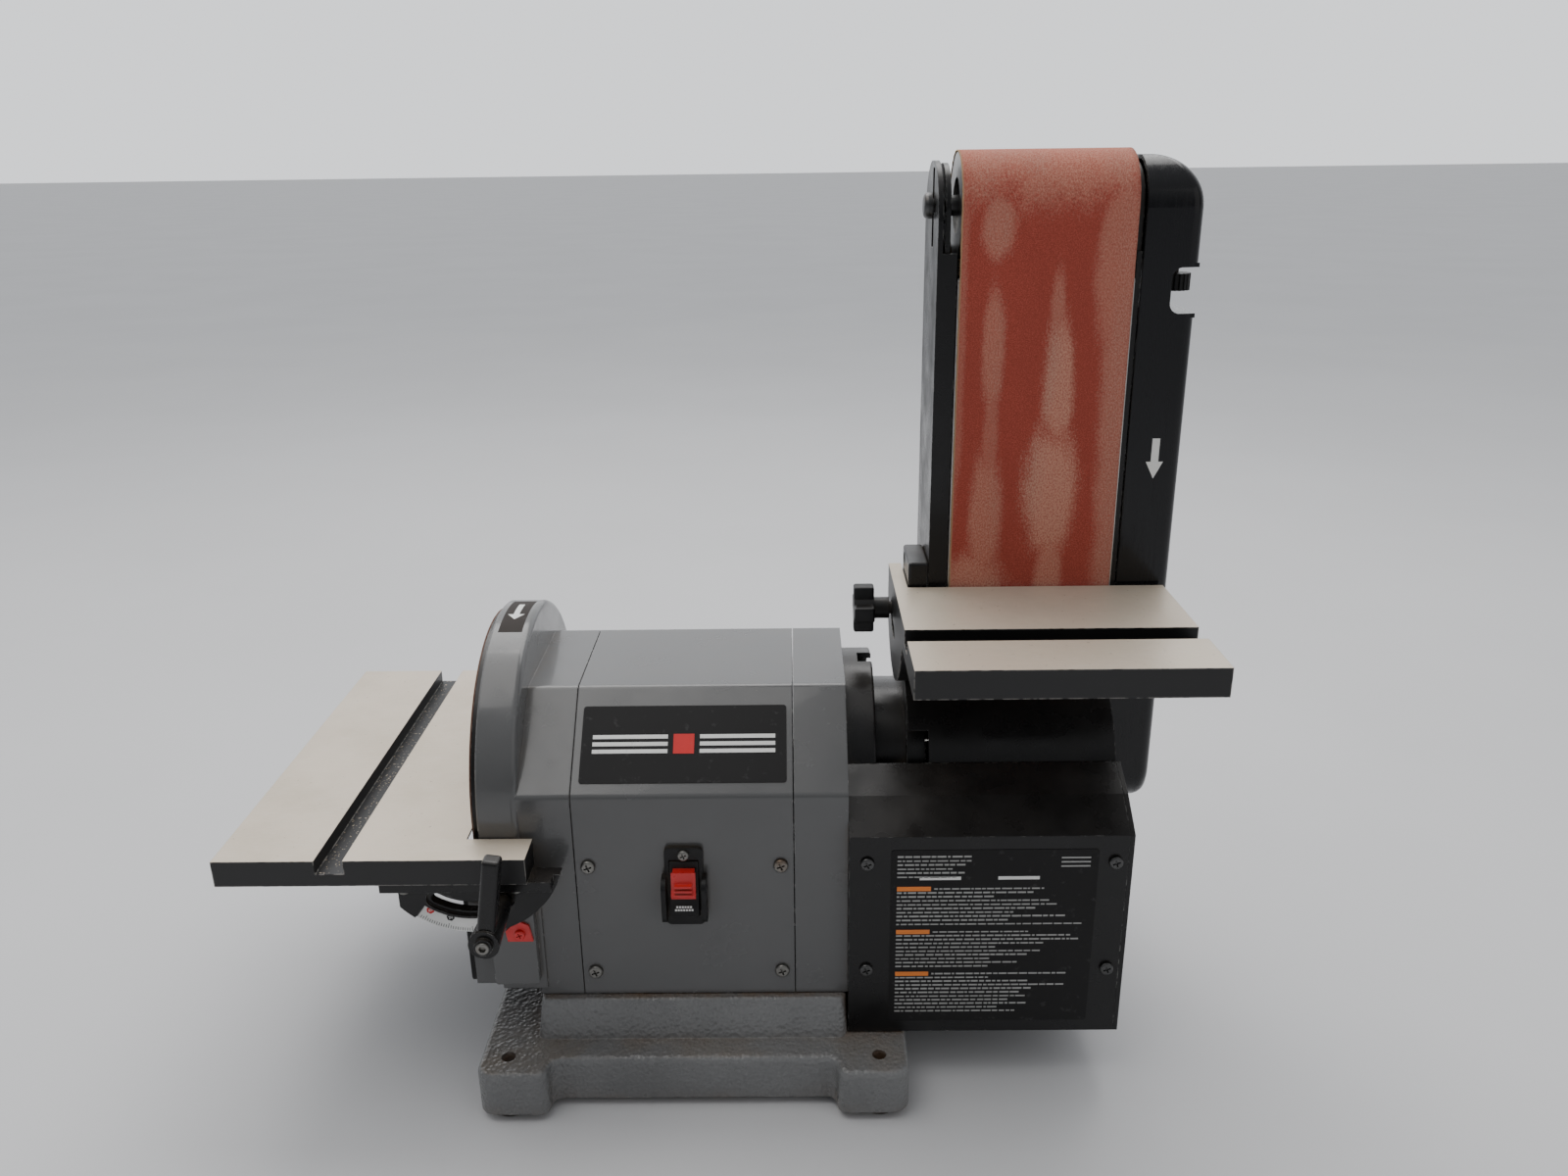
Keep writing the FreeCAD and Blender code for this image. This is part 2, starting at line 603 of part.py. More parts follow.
def strain_relief():
    flange = tube_y(10.0, CORD_R, 104.6, 107.5, CORD_X, CORD_Z)
    nose = tube_y(6.5, CORD_R, 107.5, 126, CORD_X, CORD_Z)
    inner = tube_y(6.9, CORD_R, 100, 104.6, CORD_X, CORD_Z)
    return join([flange, nose, inner])


CORD_BEND = (134.0, 28.0)               # where the cord turns down, and both its bends' radius
PLUG_X = CORD_X + 110


def bend(center, first, second, radius):
    """Quarter circle about center, from its first direction to its second."""
    middle = (first + second) * (radius * math.sqrt(0.5))
    return Part.Arc(center + first * radius, center + middle, center + second * radius).toShape()


def power_cord():
    """Cord from the grommet, down the back and along the bench, moulded to its plug."""
    y0, radius = CORD_BEND
    y, floor = y0 + radius, CORD_R + 0.1
    start = V(CORD_X, 96, CORD_Z)
    upper = bend(V(CORD_X, y0, CORD_Z - radius), Z_AXIS, Y_AXIS, radius)
    lower = bend(V(CORD_X + radius, y, floor + radius), -X_AXIS, -Z_AXIS, radius)
    drop = Part.makeLine(V(CORD_X, y, CORD_Z - radius), V(CORD_X, y, floor + radius))
    run = Part.makeLine(V(CORD_X + radius, y, floor), V(PLUG_X, y, floor))
    wire = Part.Wire([Part.makeLine(start, V(CORD_X, y0, CORD_Z)), upper, drop, lower, run])
    circle = Part.Wire([Part.makeCircle(CORD_R - 0.02, start, Y_AXIS)])
    return wire.makePipeShell([circle], True, False).fuse(power_plug())


def power_plug():
    x, y = PLUG_X, sum(CORD_BEND)
    body = box(x - 2, x + 34, y - 10, y + 10, 0.1, 15)
    body = rounded(body, 3.0, lambda e: along(e, 0))
    blades = [box(x + 34, x + 51, y + dy - 0.75, y + dy + 0.75, 5, 11.4) for dy in (-6.35, 6.35)]
    return join([body] + blades)


# ---- disc ----
DISC_PLATE_X = (-133.0, -126.0)
DISC_HUB_X = (-131.0, -109.5)


GRUB_R = 3.0


def disc_plate():
    plate = cyl_x(DISC_R, *DISC_PLATE_X)
    hub = cyl_x(20.0, DISC_PLATE_X[1], DISC_HUB_X[1])
    ribs = []
    for i in range(6):
        rib = box(DISC_PLATE_X[1] - 0.5, DISC_PLATE_X[1] + 5, -2.5, 2.5, 15, 92)
        rib.rotate(V(0, 0, 0), X_AXIS, 60 * i)
        rib.translate(V(0, 0, SHAFT_Z))
        ribs.append(rib)
    rim = tube_x(DISC_R - 4, DISC_R - 12, DISC_PLATE_X[1] - 0.5, DISC_PLATE_X[1] + 5)
    whole = join([plate, hub, rim] + ribs)
    whole = whole.cut(cyl_x(SHAFT_R, DISC_HUB_X[0], DISC_HUB_X[1] + 1))
    return whole.cut(cyl_z(GRUB_R, SHAFT_Z, SHAFT_Z + 25, -116, 0))


def sanding_disc():
    return cyl_x(DISC_R, DISC_FACE, DISC_PLATE_X[0])


def set_screws():
    def grub(x, length):
        body = cyl_z(GRUB_R, SHAFT_Z + SHAFT_R + 0.01, SHAFT_Z + SHAFT_R + length, x, 0)
        socket = Part.makeCylinder(1.5, 3, V(x, 0, SHAFT_Z + SHAFT_R + length - 3), Z_AXIS)
        return body.cut(socket)
    return group([grub(-116, 11.5), grub(BELT_X0 + 10, 8.0)])


# ---- belt drive ----
DRUM_X = (BELT_X0 + 0.6, BELT_X1 - 1.4)
DRUM_BORE = 24.0


def crowned(radius, x0, x1, z):
    """A roller whose middle is slightly fuller than its ends."""
    drop = 0.25
    a, b, c = V(x0, radius - drop, 0), V((x0 + x1) / 2, radius, 0), V(x1, radius - drop, 0)
    edges = [Part.Arc(a, b, c).toShape(), Part.makeLine(c, V(x1, 0, 0)),
             Part.makeLine(V(x1, 0, 0), V(x0, 0, 0)), Part.makeLine(V(x0, 0, 0), a)]
    solid = Part.Face(Part.Wire(edges)).revolve(V(0, 0, 0), X_AXIS, 360)
    solid.translate(V(0, 0, z))
    return solid


def drive_drum():
    drum = crowned(DRUM_R, *DRUM_X, SHAFT_Z)
    for x0, x1 in ((DRUM_X[0] - 1, DRUM_X[0] + 6), (DRUM_X[1] - 32, DRUM_X[1] + 1)):
        drum = drum.cut(tube_x(DRUM_BORE, 14.0, x0, x1))
    drum = drum.cut(cyl_x(SHAFT_R, DRUM_X[0] - 1, BELT_X1 - 3))
    return drum.cut(cyl_z(GRUB_R, SHAFT_Z, SHAFT_Z + DRUM_R + 3, BELT_X0 + 10, 0))


def belt_loop(r, x0, x1):
    ends = [cyl_x(r, x0, x1, 0, z) for z in (SHAFT_Z, IDLER_Z)]
    return join(ends + [box(x0, x1, -r, r, SHAFT_Z, IDLER_Z)])


def abrasive_belt():
    return belt_loop(BELT_Y + BELT_T, BELT_X0, BELT_X1).cut(belt_loop(BELT_Y, BELT_X0 - 1, BELT_X1 + 1))


def pivot_collar():
    flange = cyl_x(COLLAR_R, *COLLAR_X)
    flange = rounded(flange, 1.5, lambda e: at(e, 0, COLLAR_X[1]))
    flange = flange.cut(cyl_x(COLLAR_R - 4, COLLAR_X[0] + 4, COLLAR_X[1] + 1))
    neck = tube_x(NECK_R, NECK_R - 5, COLLAR_X[0] + 3, NECK_END)
    seat = cyl_x(BEARING_R + 5, NECK_SEAT - 2, NECK_SEAT + BEARING_W)
    web = cyl_x(NECK_R - 4, NECK_SEAT - 2, NECK_SEAT + 2)
    whole = join([flange, neck, web, seat]).cut(cyl_x(SHAFT_R + 2.5, COLLAR_X[0] - 1, NECK_END + 1))
    whole = whole.cut(cyl_x(BEARING_R, NECK_SEAT, NECK_END + 1))
    for y, z in collar_screw_points():
        whole = whole.cut(cyl_x(2.5, COLLAR_X[0] - 1, COLLAR_X[0] + 5, y, z))
    window = box(COLLAR_X[1] - 9.6, COLLAR_X[1] + 1, -9, 5, SHAFT_Z + COLLAR_R - 9, SHAFT_Z + COLLAR_R + 1)
    return whole.cut(window)


NECK_SEAT = 131.0


def collar_screw_points():
    angles = [math.radians(45 + 90 * i) for i in range(4)]
    return [(58 * math.cos(a), SHAFT_Z + 58 * math.sin(a)) for a in angles]


def collar_screws():
    return [placed(hex_bolt(8, 4, 2.5, 3.8), (COLLAR_X[0] + 4.02, y, z), (1, 0, 0))
            for y, z in collar_screw_points()]


# ---- belt arm ----
def rounded_plate(x0, x1, y0, y1, z0, z1, radius):
    plate = box(x0, x1, y0, y1, z0, z1)
    return rounded(plate, radius, lambda e: along(e, 0) and e.BoundBox.ZMin > z1 - 1)


NOTCH = (ARM_X[0] - 1, 151.6, 196.0, 226.0)     # x0, x1, z0, z1 of the lock-screw recess


def belt_arm_frame():
    """Left side plate, drum housing, clamp ring on the neck, inner spine and right plate."""
    x0, right0, right1 = ARM_X
    shell = cyl_x(ARM_R, x0, right1).cut(cyl_x(ARM_R - WALL, x0 + 12, right0))
    shell = shell.fuse(box(*LUG_X, -67, -48, SHAFT_Z - 4, LOCK_SEAT_Z))
    shell = shell.cut(cyl_x(NECK_R + RUN, LUG_X[0] - 1, NECK_END + 1)).cut(cyl_x(25, NECK_END, x0 + 13))
    opening = box(ARM_PLATE[1], right0, ARM_Y[0] - 6, ARM_Y[1] + 3, SHAFT_Z + 5, SHAFT_Z + ARM_R + 5)
    shell = shell.cut(opening)
    left = rounded_plate(*ARM_PLATE, *ARM_Y, SHAFT_Z + 30, 570.0, 33.0)
    right = box(right0, right1, *ARM_Y, SHAFT_Z + 30, 494.0)
    right_strip = box(right0, right1, ARM_Y[0], ARM_Y[0] + 2.5, 490.0, ARM_BREAK)
    strip = box(ARM_PLATE[1], BELT_X0 - 1.2, ARM_Y[0], ARM_Y[0] + 2.5, SHAFT_Z + 55, ARM_BREAK)
    web_top = YOKE_Z[0] - CARRIAGE_DROP - 1.0
    webs = [box(ARM_PLATE[1], right0, y, y + 3, 262, web_top) for y in (-24.5, 20.0)]
    shelf = box(ARM_PLATE[1], right0, -24.5, 23.0, SHELF_Z, SHELF_Z + 4)
    whole = join([shell, left, right, strip, right_strip] + webs + [shelf])
    whole = whole.cut(cyl_z(5.1, SHELF_Z - 1, SHELF_Z + 5, STEM_X, 0))
    whole = whole.cut(cyl_x(25.0, right0 - 1, right1 + 1))
    whole = whole.cut(box(ARM_PLATE[0] - 1, ARM_PLATE[1] + 1, -4.1, 4.1, 521, 566))
    notch = box(NOTCH[0], NOTCH[1], -ARM_R - 1, -40, NOTCH[2], NOTCH[3])
    notch = notch.cut(cyl_x(ARM_R - 12, x0 - 1, x0 + 20))
    whole = whole.cut(notch)
    whole = whole.cut(cyl_z(3.05, SHAFT_Z - 5, LOCK_SEAT_Z + 1, *LOCK_SCREW_XY))
    for y, z in COVER_SCREWS:
        whole = whole.cut(cyl_x(2.0, right0 - 1, right1 + 1, y, z))
    hole_x = (ARM_PLATE[0] - 1, ARM_PLATE[1] + 1)
    for y, z in BRACKET_BOLTS:
        whole = whole.cut(cyl_x(2.5, *hole_x, y, z))
    return whole.cut(cyl_x(4.1, right0 - 1, right1 + 1, *LEVER_YZ))


SHELF_Z = 455.0
LOCK_SCREW_XY = (133.4, -59.0)
LOCK_SEAT_Z = NOTCH[2]
LUG_X = (127.5, ARM_X[0] + 2)           # clamp lug beside the neck
COVER_SCREWS = ((10.0, 300.0), (10.0, 400.0))
BRACKET_BOLTS = ((-2.0, 276.0), (-2.0, 324.0))
LEVER_YZ = (28.0, 470.0)


def arm_lock_screw():
    return placed(socket_screw(5.0, 6.0, 3.0, 15.0), (*LOCK_SCREW_XY, LOCK_SEAT_Z), (0, 0, 1))


def platen():
    plate = box(BELT_X0 - 0.6, ARM_X[1] - 0.1, -BELT_Y + 0.35, -24.6, 266, 505)
    return rounded(plate, 3.0, lambda e: along(e, 0) and e.BoundBox.YMin < -29)


def arm_rear_cover():
    cover = box(ARM_PLATE[1] + 0.1, ARM_X[1] - 0.1, ARM_Y[1] - 2.0, ARM_Y[1], SHAFT_Z + 66, ARM_BREAK)
    slots = [box(180 + 14 * i, 186 + 14 * i, ARM_Y[1] - 3, ARM_Y[1] + 1, 300, 480) for i in range(6)]
    for slot in slots:
        cover = cover.cut(rounded(slot, 2.9, lambda e: along(e, 1)))
    return cover


def cover_body(inset, x0, x1):
    """Rounded body of the side cover, moved in by inset on its outer faces."""
    y0, y1 = ARM_Y[0] - 1.0 + inset, ARM_Y[1] - inset
    z0, z1 = COVER_Z[0] + inset, COVER_Z[1] - inset
    body = box(x0, x1, y0, y1, z0, z1)
    body = rounded(body, 28.0 - inset, lambda e: along(e, 1) and at(e, 0, x1) and at(e, 2, z1))
    body = rounded(body, 15.0 - inset, lambda e: along(e, 1) and at(e, 0, x1) and at(e, 2, z0))
    taller = box(x0, x1, y0, y1, z0 - 1, z1 + 1)
    return body.common(rounded(taller, 30.0 - inset, lambda e: along(e, 0)))


def side_cover():
    """Glossy cover over the arm's right side, notched for the tracking knob."""
    x0, x1 = COVER_X
    outer = cover_body(0.0, x0, x1)
    outer = rounded(outer, 7.0, lambda e: not (at(e, 0, x0) or along(e, 0) or along(e, 1)))
    whole = outer.cut(cover_body(2.5, x0 - 1, x1 - 2.5))
    x_in, y_in, z_low, z_high = 288.5, 30.0, 483.4, 509.8
    lips = box(x_in - 2.5, x1, ARM_Y[0], y_in + 2.5, z_low - 2.5, z_high + 2.5)
    gap = box(x_in, x1 + 5, -45, y_in, z_low, z_high)
    gap = rounded(gap, 6.0, lambda e: along(e, 1) and at(e, 0, x_in))
    whole = whole.fuse(lips.common(cover_body(0.5, x0, x1 - 0.5))).cut(gap)
    whole = whole.cut(cyl_z(TRACK_STEM_R + 0.3, 505, 515, *TRACK_XY))
    whole = whole.cut(box(x0 - 1, 282, 20, 50, 425, 505))
    for y, z in COVER_SCREWS:
        whole = whole.cut(cyl_x(2.2, x1 - 4, x1 + 1, y, z))
    return whole.removeSplitter()


def side_cover_screws():
    return group([placed(screw(4.2, 2.6, 1.9, COVER_X[1] - ARM_X[1]), (COVER_X[1] + 0.02, y, z), (1, 0, 0))
                  for y, z in COVER_SCREWS])


# ---- idler end ----
TRACK_XY = (299.2, 2.0)
TRACK_R, TRACK_STEM_R = 9.8, 2.6
YOKE_Z = (504.0, 511.0)
CARRIAGE_DROP = 8.0                     # how far the tension lever draws the carriage down
YOKE_LEFT = (156.4, 159.4)
YOKE_RIGHT = ARM_X[1:]


def idler_yoke():
    """Sliding carriage: two round-topped ears on a cross bar, with a spring stem."""
    ears = [rounded_plate(*ear_x, -26, 26, YOKE_Z[0], IDLER_Z + 24, 25.5) for ear_x in (YOKE_LEFT, YOKE_RIGHT)]
    bar = box(YOKE_LEFT[0], YOKE_RIGHT[1], -17, 17, *YOKE_Z)
    stem = cyl_z(5.0, SHELF_Z - 12, YOKE_Z[0], STEM_X, 0)
    tab = box(YOKE_RIGHT[0], COVER_X[1] - 3.0, -6, 10, IDLER_Z - 14, IDLER_Z - 11)
    tab_hole = cyl_z(TRACK_STEM_R + 0.1, IDLER_Z - 15, IDLER_Z - 10, *TRACK_XY)
    whole = join(ears + [bar, stem, tab]).cut(tab_hole)
    return whole.cut(cyl_x(6.0, YOKE_LEFT[0] - 1, YOKE_RIGHT[1] + 1, 0, IDLER_Z))


STEM_X = 215.0


def idler_axle():
    body = cyl_x(6.0, YOKE_LEFT[0], YOKE_RIGHT[1] + 4, 0, IDLER_Z)
    tip = cyl_x(3.9, ARM_PLATE[0] - 1, YOKE_LEFT[0], 0, IDLER_Z)
    head = placed(screw(7.6, 5.0, 3.9, 2.0, False), (ARM_PLATE[0] - 0.9, 0, IDLER_Z), (-1, 0, 0))
    return join([body, tip, head])


IDLER_X = (BELT_X0 + 0.6, BELT_X1 - 0.8)


def idler_roller():
    roller = crowned(DRUM_R, *IDLER_X, IDLER_Z)
    return roller.cut(cyl_x(16.0, IDLER_X[0] - 1, IDLER_X[1] + 1, 0, IDLER_Z))


def idler_bearings():
    solids = []
    for x0 in (IDLER_X[0] + 3, IDLER_X[1] - 13):
        solids += bearing(x0, 0, IDLER_Z, 16.0, 6.0 + RUN, 10.0, 7)
    return group(solids)


def tension_spring():
    """Compression spring between the arm's shelf and the carriage bar."""
    low, high, wire_r, coil_r = SHELF_Z + 4.0, YOKE_Z[0], 1.2, 9.0
    turns = 8.0
    rise = high - low - 2 * wire_r - 0.4
    helix = Part.makeHelix(rise / turns, rise, coil_r)
    profile = Part.Wire([Part.makeCircle(wire_r, V(coil_r, 0, 0), Y_AXIS)])
    spring = Part.Wire(helix).makePipeShell([profile], True, True)
    spring.translate(V(STEM_X, 0, low + wire_r + 0.2))
    return spring


def tension_lever():
    """Bent lever on the right plate that draws the carriage down."""
    y, z = LEVER_YZ
    hub = cyl_x(9.0, ARM_X[2] + 0.3, ARM_X[2] + 6, y, z)
    profile = [(y - 5, z), (y + 6, z + 3), (y + 26, z - 34), (y + 18, z - 38)]
    arm = prism_x(profile, ARM_X[2] + 1.3, ARM_X[2] + 4.3)
    grip = Part.makeBox(9.0, 14.0, 30.0, V(ARM_X[2] - 1.6, y + 15, z - 62))
    grip = rounded(grip, 3.0, lambda e: True)
    pin = cyl_x(4.0, ARM_X[1] - 0.5, ARM_X[2] + 1, y, z)
    return join([hub, arm, grip, pin])


def tracking_knob():
    x, y = TRACK_XY
    knob = cyl_z(TRACK_R, 494, 504, x, y)
    for i in range(20):
        a = 2 * math.pi * i / 20
        knob = knob.cut(cyl_z(0.9, 493, 505, x + TRACK_R * math.cos(a), y + TRACK_R * math.sin(a)))
    stem = cyl_z(TRACK_STEM_R, 504, IDLER_Z - 2, x, y)
    return join([knob, stem])


# ---- dust box under the arm ----
def box_outline(shrink=0.0):
    (y0, z0), (_, z1), (y2, z2), (y3, z3) = BOX_PROFILE
    rear_y, rear_z = BOX_REAR
    s = shrink
    return [(y0 + s, z0 + s), (y0 + s, z1 - s * 0.4), (y2 + s * 0.4, z2 - s), (y3, z3 - s),
            (0.0, z3 - s), (0.0, rear_z - s), (rear_y - s, rear_z - s), (rear_y - s, z0 + s)]


BOX_END = 3.0
BAY_R = COLLAR_R + 0.2          # opening that the arm's drum housing turns in
BOX_SCREWS = [(110.0, 163.7), (110.0, 86.1), (262.3, 163.7), (262.3, 86.1)]


def dust_box():
    x0, x1 = BOX_X[0], BOX_X[1] - BOX_END
    outer = prism_x(box_outline(), x0, x1)
    inner = prism_x(box_outline(2.5), x0 + 2.5, x1 + 1)
    whole = outer.cut(inner).cut(cyl_x(BAY_R, x0 - 1, x1 + 1))
    port = tube_y(BOX_PORT_R + 3, BOX_PORT_R, BOX_REAR[0] - 2.5, BOX_REAR[0] + 28, BOX_PORT_X, BOX_PORT_Z)
    whole = whole.cut(cyl_y(BOX_PORT_R, 100, 120, BOX_PORT_X, BOX_PORT_Z)).fuse(port)
    for x, z in BOX_SCREWS:
        whole = whole.cut(cyl_y(2.2, BOX_PROFILE[0][0] - 1, BOX_PROFILE[0][0] + 4, x, z))
    return whole.removeSplitter()


BOX_PORT_X, BOX_PORT_Z, BOX_PORT_R = 186.0, 86.0, 28.6


def dust_box_end_cover():
    x0, x1 = BOX_X[1] - BOX_END, BOX_X[1]
    plate = prism_x(box_outline(), x0 + 0.05, x1)
    plate = plate.cut(cyl_x(BAY_R, x0 - 1, x1 + 1))
    for y, z in BOX_SIDE_SCREWS:
        plate = plate.cut(cyl_x(1.5, x0 - 1, x1 + 1, y, z))
    return plate


def dust_box_screws():
    front_y, side_x = BOX_PROFILE[0][0] - 0.02, BOX_X[1] + 0.02
    front = [placed(screw(4.4, 2.6, 1.9, 5.0), (x, front_y, z), (0, -1, 0)) for x, z in BOX_SCREWS]
    side = [placed(screw(3.4, 2.0, 1.5, 2.5), (side_x, y, z), (1, 0, 0)) for y, z in BOX_SIDE_SCREWS]
    return group(front + side)


BOX_SIDE_SCREWS = ((-98.0, 181.0), (-98.0, 60.0), (98.0, 60.0))


# ---- disc table ----
def table_plate(outline, z_top, pocket_boxes):
    plate = prism_z(outline, z_top - TABLE_T, z_top)
    for pocket in pocket_boxes:
        plate = plate.cut(rounded(pocket, 4.0, lambda e: along(e, 2)))
    return plate


def disc_table():
    x0, x1 = DISC_TABLE_X
    y0, y1 = DISC_TABLE_Y
    edge, notch0, notch1 = DISC_EDGE, -107.6, 108.4
    outline = [(x0, y0), (x1, y0), (x1, notch0), (edge, notch0),
               (edge, notch1), (x1, notch1), (x1, y1), (x0, y1)]
    z = DISC_TABLE_Z
    under = z - TABLE_T
    low = (under - 1, z - 8)
    pockets = [box(x0 + 7, DISC_TABLE_SLOT - SLOT_W / 2 - 7, y0 + 7, y1 - 7, *low)]
    pockets.append(box(DISC_TABLE_SLOT + SLOT_W / 2 + 7, edge - 20, -100, 100, *low))
    plate = table_plate(outline, z, pockets)
    slot_x = (DISC_TABLE_SLOT - SLOT_W / 2, DISC_TABLE_SLOT + SLOT_W / 2)
    plate = plate.cut(box(*slot_x, y0 - 1, y1 + 1, z - SLOT_D, z + 1))
    bevel = prism_y([(edge + 0.01, z - 1.5), (edge + 0.01, under - 1), (edge - TABLE_T + 1, under - 1)],
                    notch0 - 0.01, notch1 + 0.01)
    plate = plate.cut(bevel)
    for x, y in trunnion_screw_points():
        plate = plate.cut(cyl_z(2.1, under - 1, z - 5, x, y))
    return plate


def trunnion_screw_points():
    y = TRUNNION_Y[1] + 4.2
    return [(x, s * y) for x in (-172.0, -104.0) for s in (-1, 1)]


def trunnion(side):
    """Half-moon bracket under one end of the disc table, with the arc slot for the lock bolt."""
    cx, cz = DISC_PIVOT
    y0, y1 = sorted((side * TRUNNION_Y[0], side * TRUNNION_Y[1]))
    under = DISC_TABLE_Z - TABLE_T
    half = cyl_y(TRUNNION_R, y0, y1, cx, cz)
    half = half.cut(box(cx - 80, cx + 80, y0 - 1, y1 + 1, under, cz + 80))
    half = half.cut(box(cx - 80, cx - 44, y0 - 1, y1 + 1, cz - 80, under))
    foot = box(cx - 52, cx + 52, min(y0, y0 + side * 8.5), max(y1, y1 + side * 8.5), under - 6.5, under)
    front = y0 if side < 0 else y1
    deep = sorted((front + side, front - side * 2.0))
    plain = half.cut(arc_ring(LOCK_R + 7.6, TRUNNION_R + 1, *deep))
    plain = join([plain, foot]).cut(arc_slot(LOCK_R, 6.0, -122, -58, cx, cz, *deep))
    plain = plain.cut(arc_slot(LOCK_R, 3.4, -122, -58, cx, cz, y0 - 1, y1 + 1))
    for x, y in trunnion_screw_points():
        if y * side > 0:
            plain = plain.cut(cyl_z(2.1, under - 12, under + 1, x, y))
    return plain


def arc_ring(r0, r1, y0, y1):
    """The face of the half-moon outside the slot's rim, where the angle scale sits."""
    cx, cz = DISC_PIVOT
    ring = cyl_y(r1, y0, y1, cx, cz).cut(cyl_y(r0, y0 - 1, y1 + 1, cx, cz))
    wedge = prism_y([(cx, cz), (cx - 143, cz - 190), (cx + 60, cz - 190)], y0 - 1, y1 + 1)
    return ring.common(wedge)


SCALE_T = 0.5


def angle_scale():
    """Thin printed arc let into the front face of the front trunnion."""
    front = -TRUNNION_Y[1] + 2.0
    ring = cyl_y(TRUNNION_R - 0.3, front - SCALE_T, front - 0.02, *DISC_PIVOT)
    ring = ring.cut(cyl_y(LOCK_R + 8.0, front - 2, front + 2, *DISC_PIVOT))
    cx, cz = DISC_PIVOT
    wedge = prism_y([(cx, cz), (cx - 88, cz - 120), (cx + 36, cz - 120)], front - 2, front + 2)
    return ring.common(wedge).cut(box(cx - 90, cx - 43.5, front - 2, front + 2, 0, 200))


def trunnion_screws():
    under = DISC_TABLE_Z - TABLE_T
    return group([placed(screw(3.6, 2.2, 2.0, 10.0), (x, y, under - 6.52), (0, 0, -1))
                  for x, y in trunnion_screw_points()])


def pointer():
    """Red arrow plate on the fixed block, pointing at the scale."""
    x, z = POINTER_SCREW
    y0, y1 = -114.5, -112.92
    angle = math.radians(-65)
    tip = (DISC_PIVOT[0] + 60.2 * math.cos(angle), DISC_PIVOT[1] + 60.2 * math.sin(angle))
    shape = prism_y([tip, (x - 9, z + 2), (x - 8, z - 5.5), (x + 8, z - 5.5), (x + 6, z + 6)], y0, y1)
    return shape.cut(cyl_y(1.8, y0 - 1, y1 + 1, x, z))


def pointer_screw():
    x, z = POINTER_SCREW
    return placed(screw(3.4, 2.2, 1.6, 7.0), (x, -114.52, z), (0, -1, 0))


HUB_Y = (122.5, 165.0)


def lock_lever(side):
    """Clamping lever: stud, hub and offset handle that rises in front of the table."""
    x, z = lock_point()
    hub = Part.makeCone(7.0, 9.2, HUB_Y[1] - HUB_Y[0], V(x, side * HUB_Y[0], z), V(0, side, 0))
    tip = V(x + 8.5, 0, z + 55)
    foot = V(x, 0, z)
    lean = math.atan2(tip.x - foot.x, tip.z - foot.z)
    bar = box(-5.3, 5.3, *sorted((side * (HUB_Y[1] - 12), side * (HUB_Y[1] - 1.5))), 0, 55)
    bar = rounded(bar, 2.4, lambda e: at(e, 2, 55) or along(e, 2))
    bar.rotate(V(0, 0, 0), Y_AXIS, math.degrees(lean))
    bar.translate(V(x, 0, z))
    nose = cyl_y(5.4, *sorted((side * HUB_Y[1], side * (HUB_Y[1] + 2.5))), x, z)
    stud = cyl_y(3.0, *sorted((side * 100, side * (HUB_Y[0] + 1))), x, z)
    whole = join([hub, bar, nose, stud])
    return whole.cut(cyl_y(2.2, *sorted((side * (HUB_Y[1] + 0.5), side * (HUB_Y[1] + 3))), x, z))


# ---- belt table ----
def ear_arc(radius, half, a0, a1, x0, x1):
    flat = arc_slot(radius, half, a0, a1, BELT_PIVOT[0], BELT_PIVOT[1], x0, x1)
    return to_yz(flat)


def belt_table():
    x0, x1 = BELT_TABLE_X
    y0, y1 = BELT_TABLE_Y
    z = BELT_TABLE_Z
    under = z - TABLE_T
    ear_y = BELT_PIVOT[0] + EAR_R
    outline = [(x0, y0), (x1, y0), (x1, y1), (EAR_X, y1), (EAR_X, ear_y), (x0, ear_y)]
    low = (under - 1, z - 8)
    pockets = [box(EAR_X + 4, x1 - 7, y0 + 7, BELT_TABLE_SLOT - SLOT_W / 2 - 7, *low)]
    pockets.append(box(EAR_X + 4, x1 - 7, BELT_TABLE_SLOT + SLOT_W / 2 + 7, y1 - 20, *low))
    plate = table_plate(outline, z, pockets)
    slot_y = (BELT_TABLE_SLOT - SLOT_W / 2, BELT_TABLE_SLOT + SLOT_W / 2)
    plate = plate.cut(box(x0 - 1, x1 + 1, *slot_y, z - SLOT_D, z + 1))
    wedge = [(y1 + 0.01, z - 1.5), (y1 + 0.01, under - 1), (y1 - TABLE_T + 1, under - 1)]
    bevel = prism_x(wedge, EAR_X, x1 + 1)
    plate = plate.cut(bevel)
    moon = cyl_x(EAR_R + 11, x0, EAR_X, *BELT_PIVOT)
    moon = moon.cut(box(x0 - 1, EAR_X + 1, -200, 200, under, z + 100))
    moon = moon.cut(box(x0 - 1, EAR_X + 1, BELT_PIVOT[0] + EAR_R, 200, 0, z))
    whole = join([plate, moon])
    reach = math.hypot(KNOB_YZ[0] - BELT_PIVOT[0], KNOB_YZ[1] - BELT_PIVOT[1])
    angle = math.degrees(math.atan2(KNOB_YZ[1] - BELT_PIVOT[1], KNOB_YZ[0] - BELT_PIVOT[0]))
    return whole.cut(ear_arc(reach, 4.3, angle - 48, angle + 2, x0 - 1, EAR_X + 1))


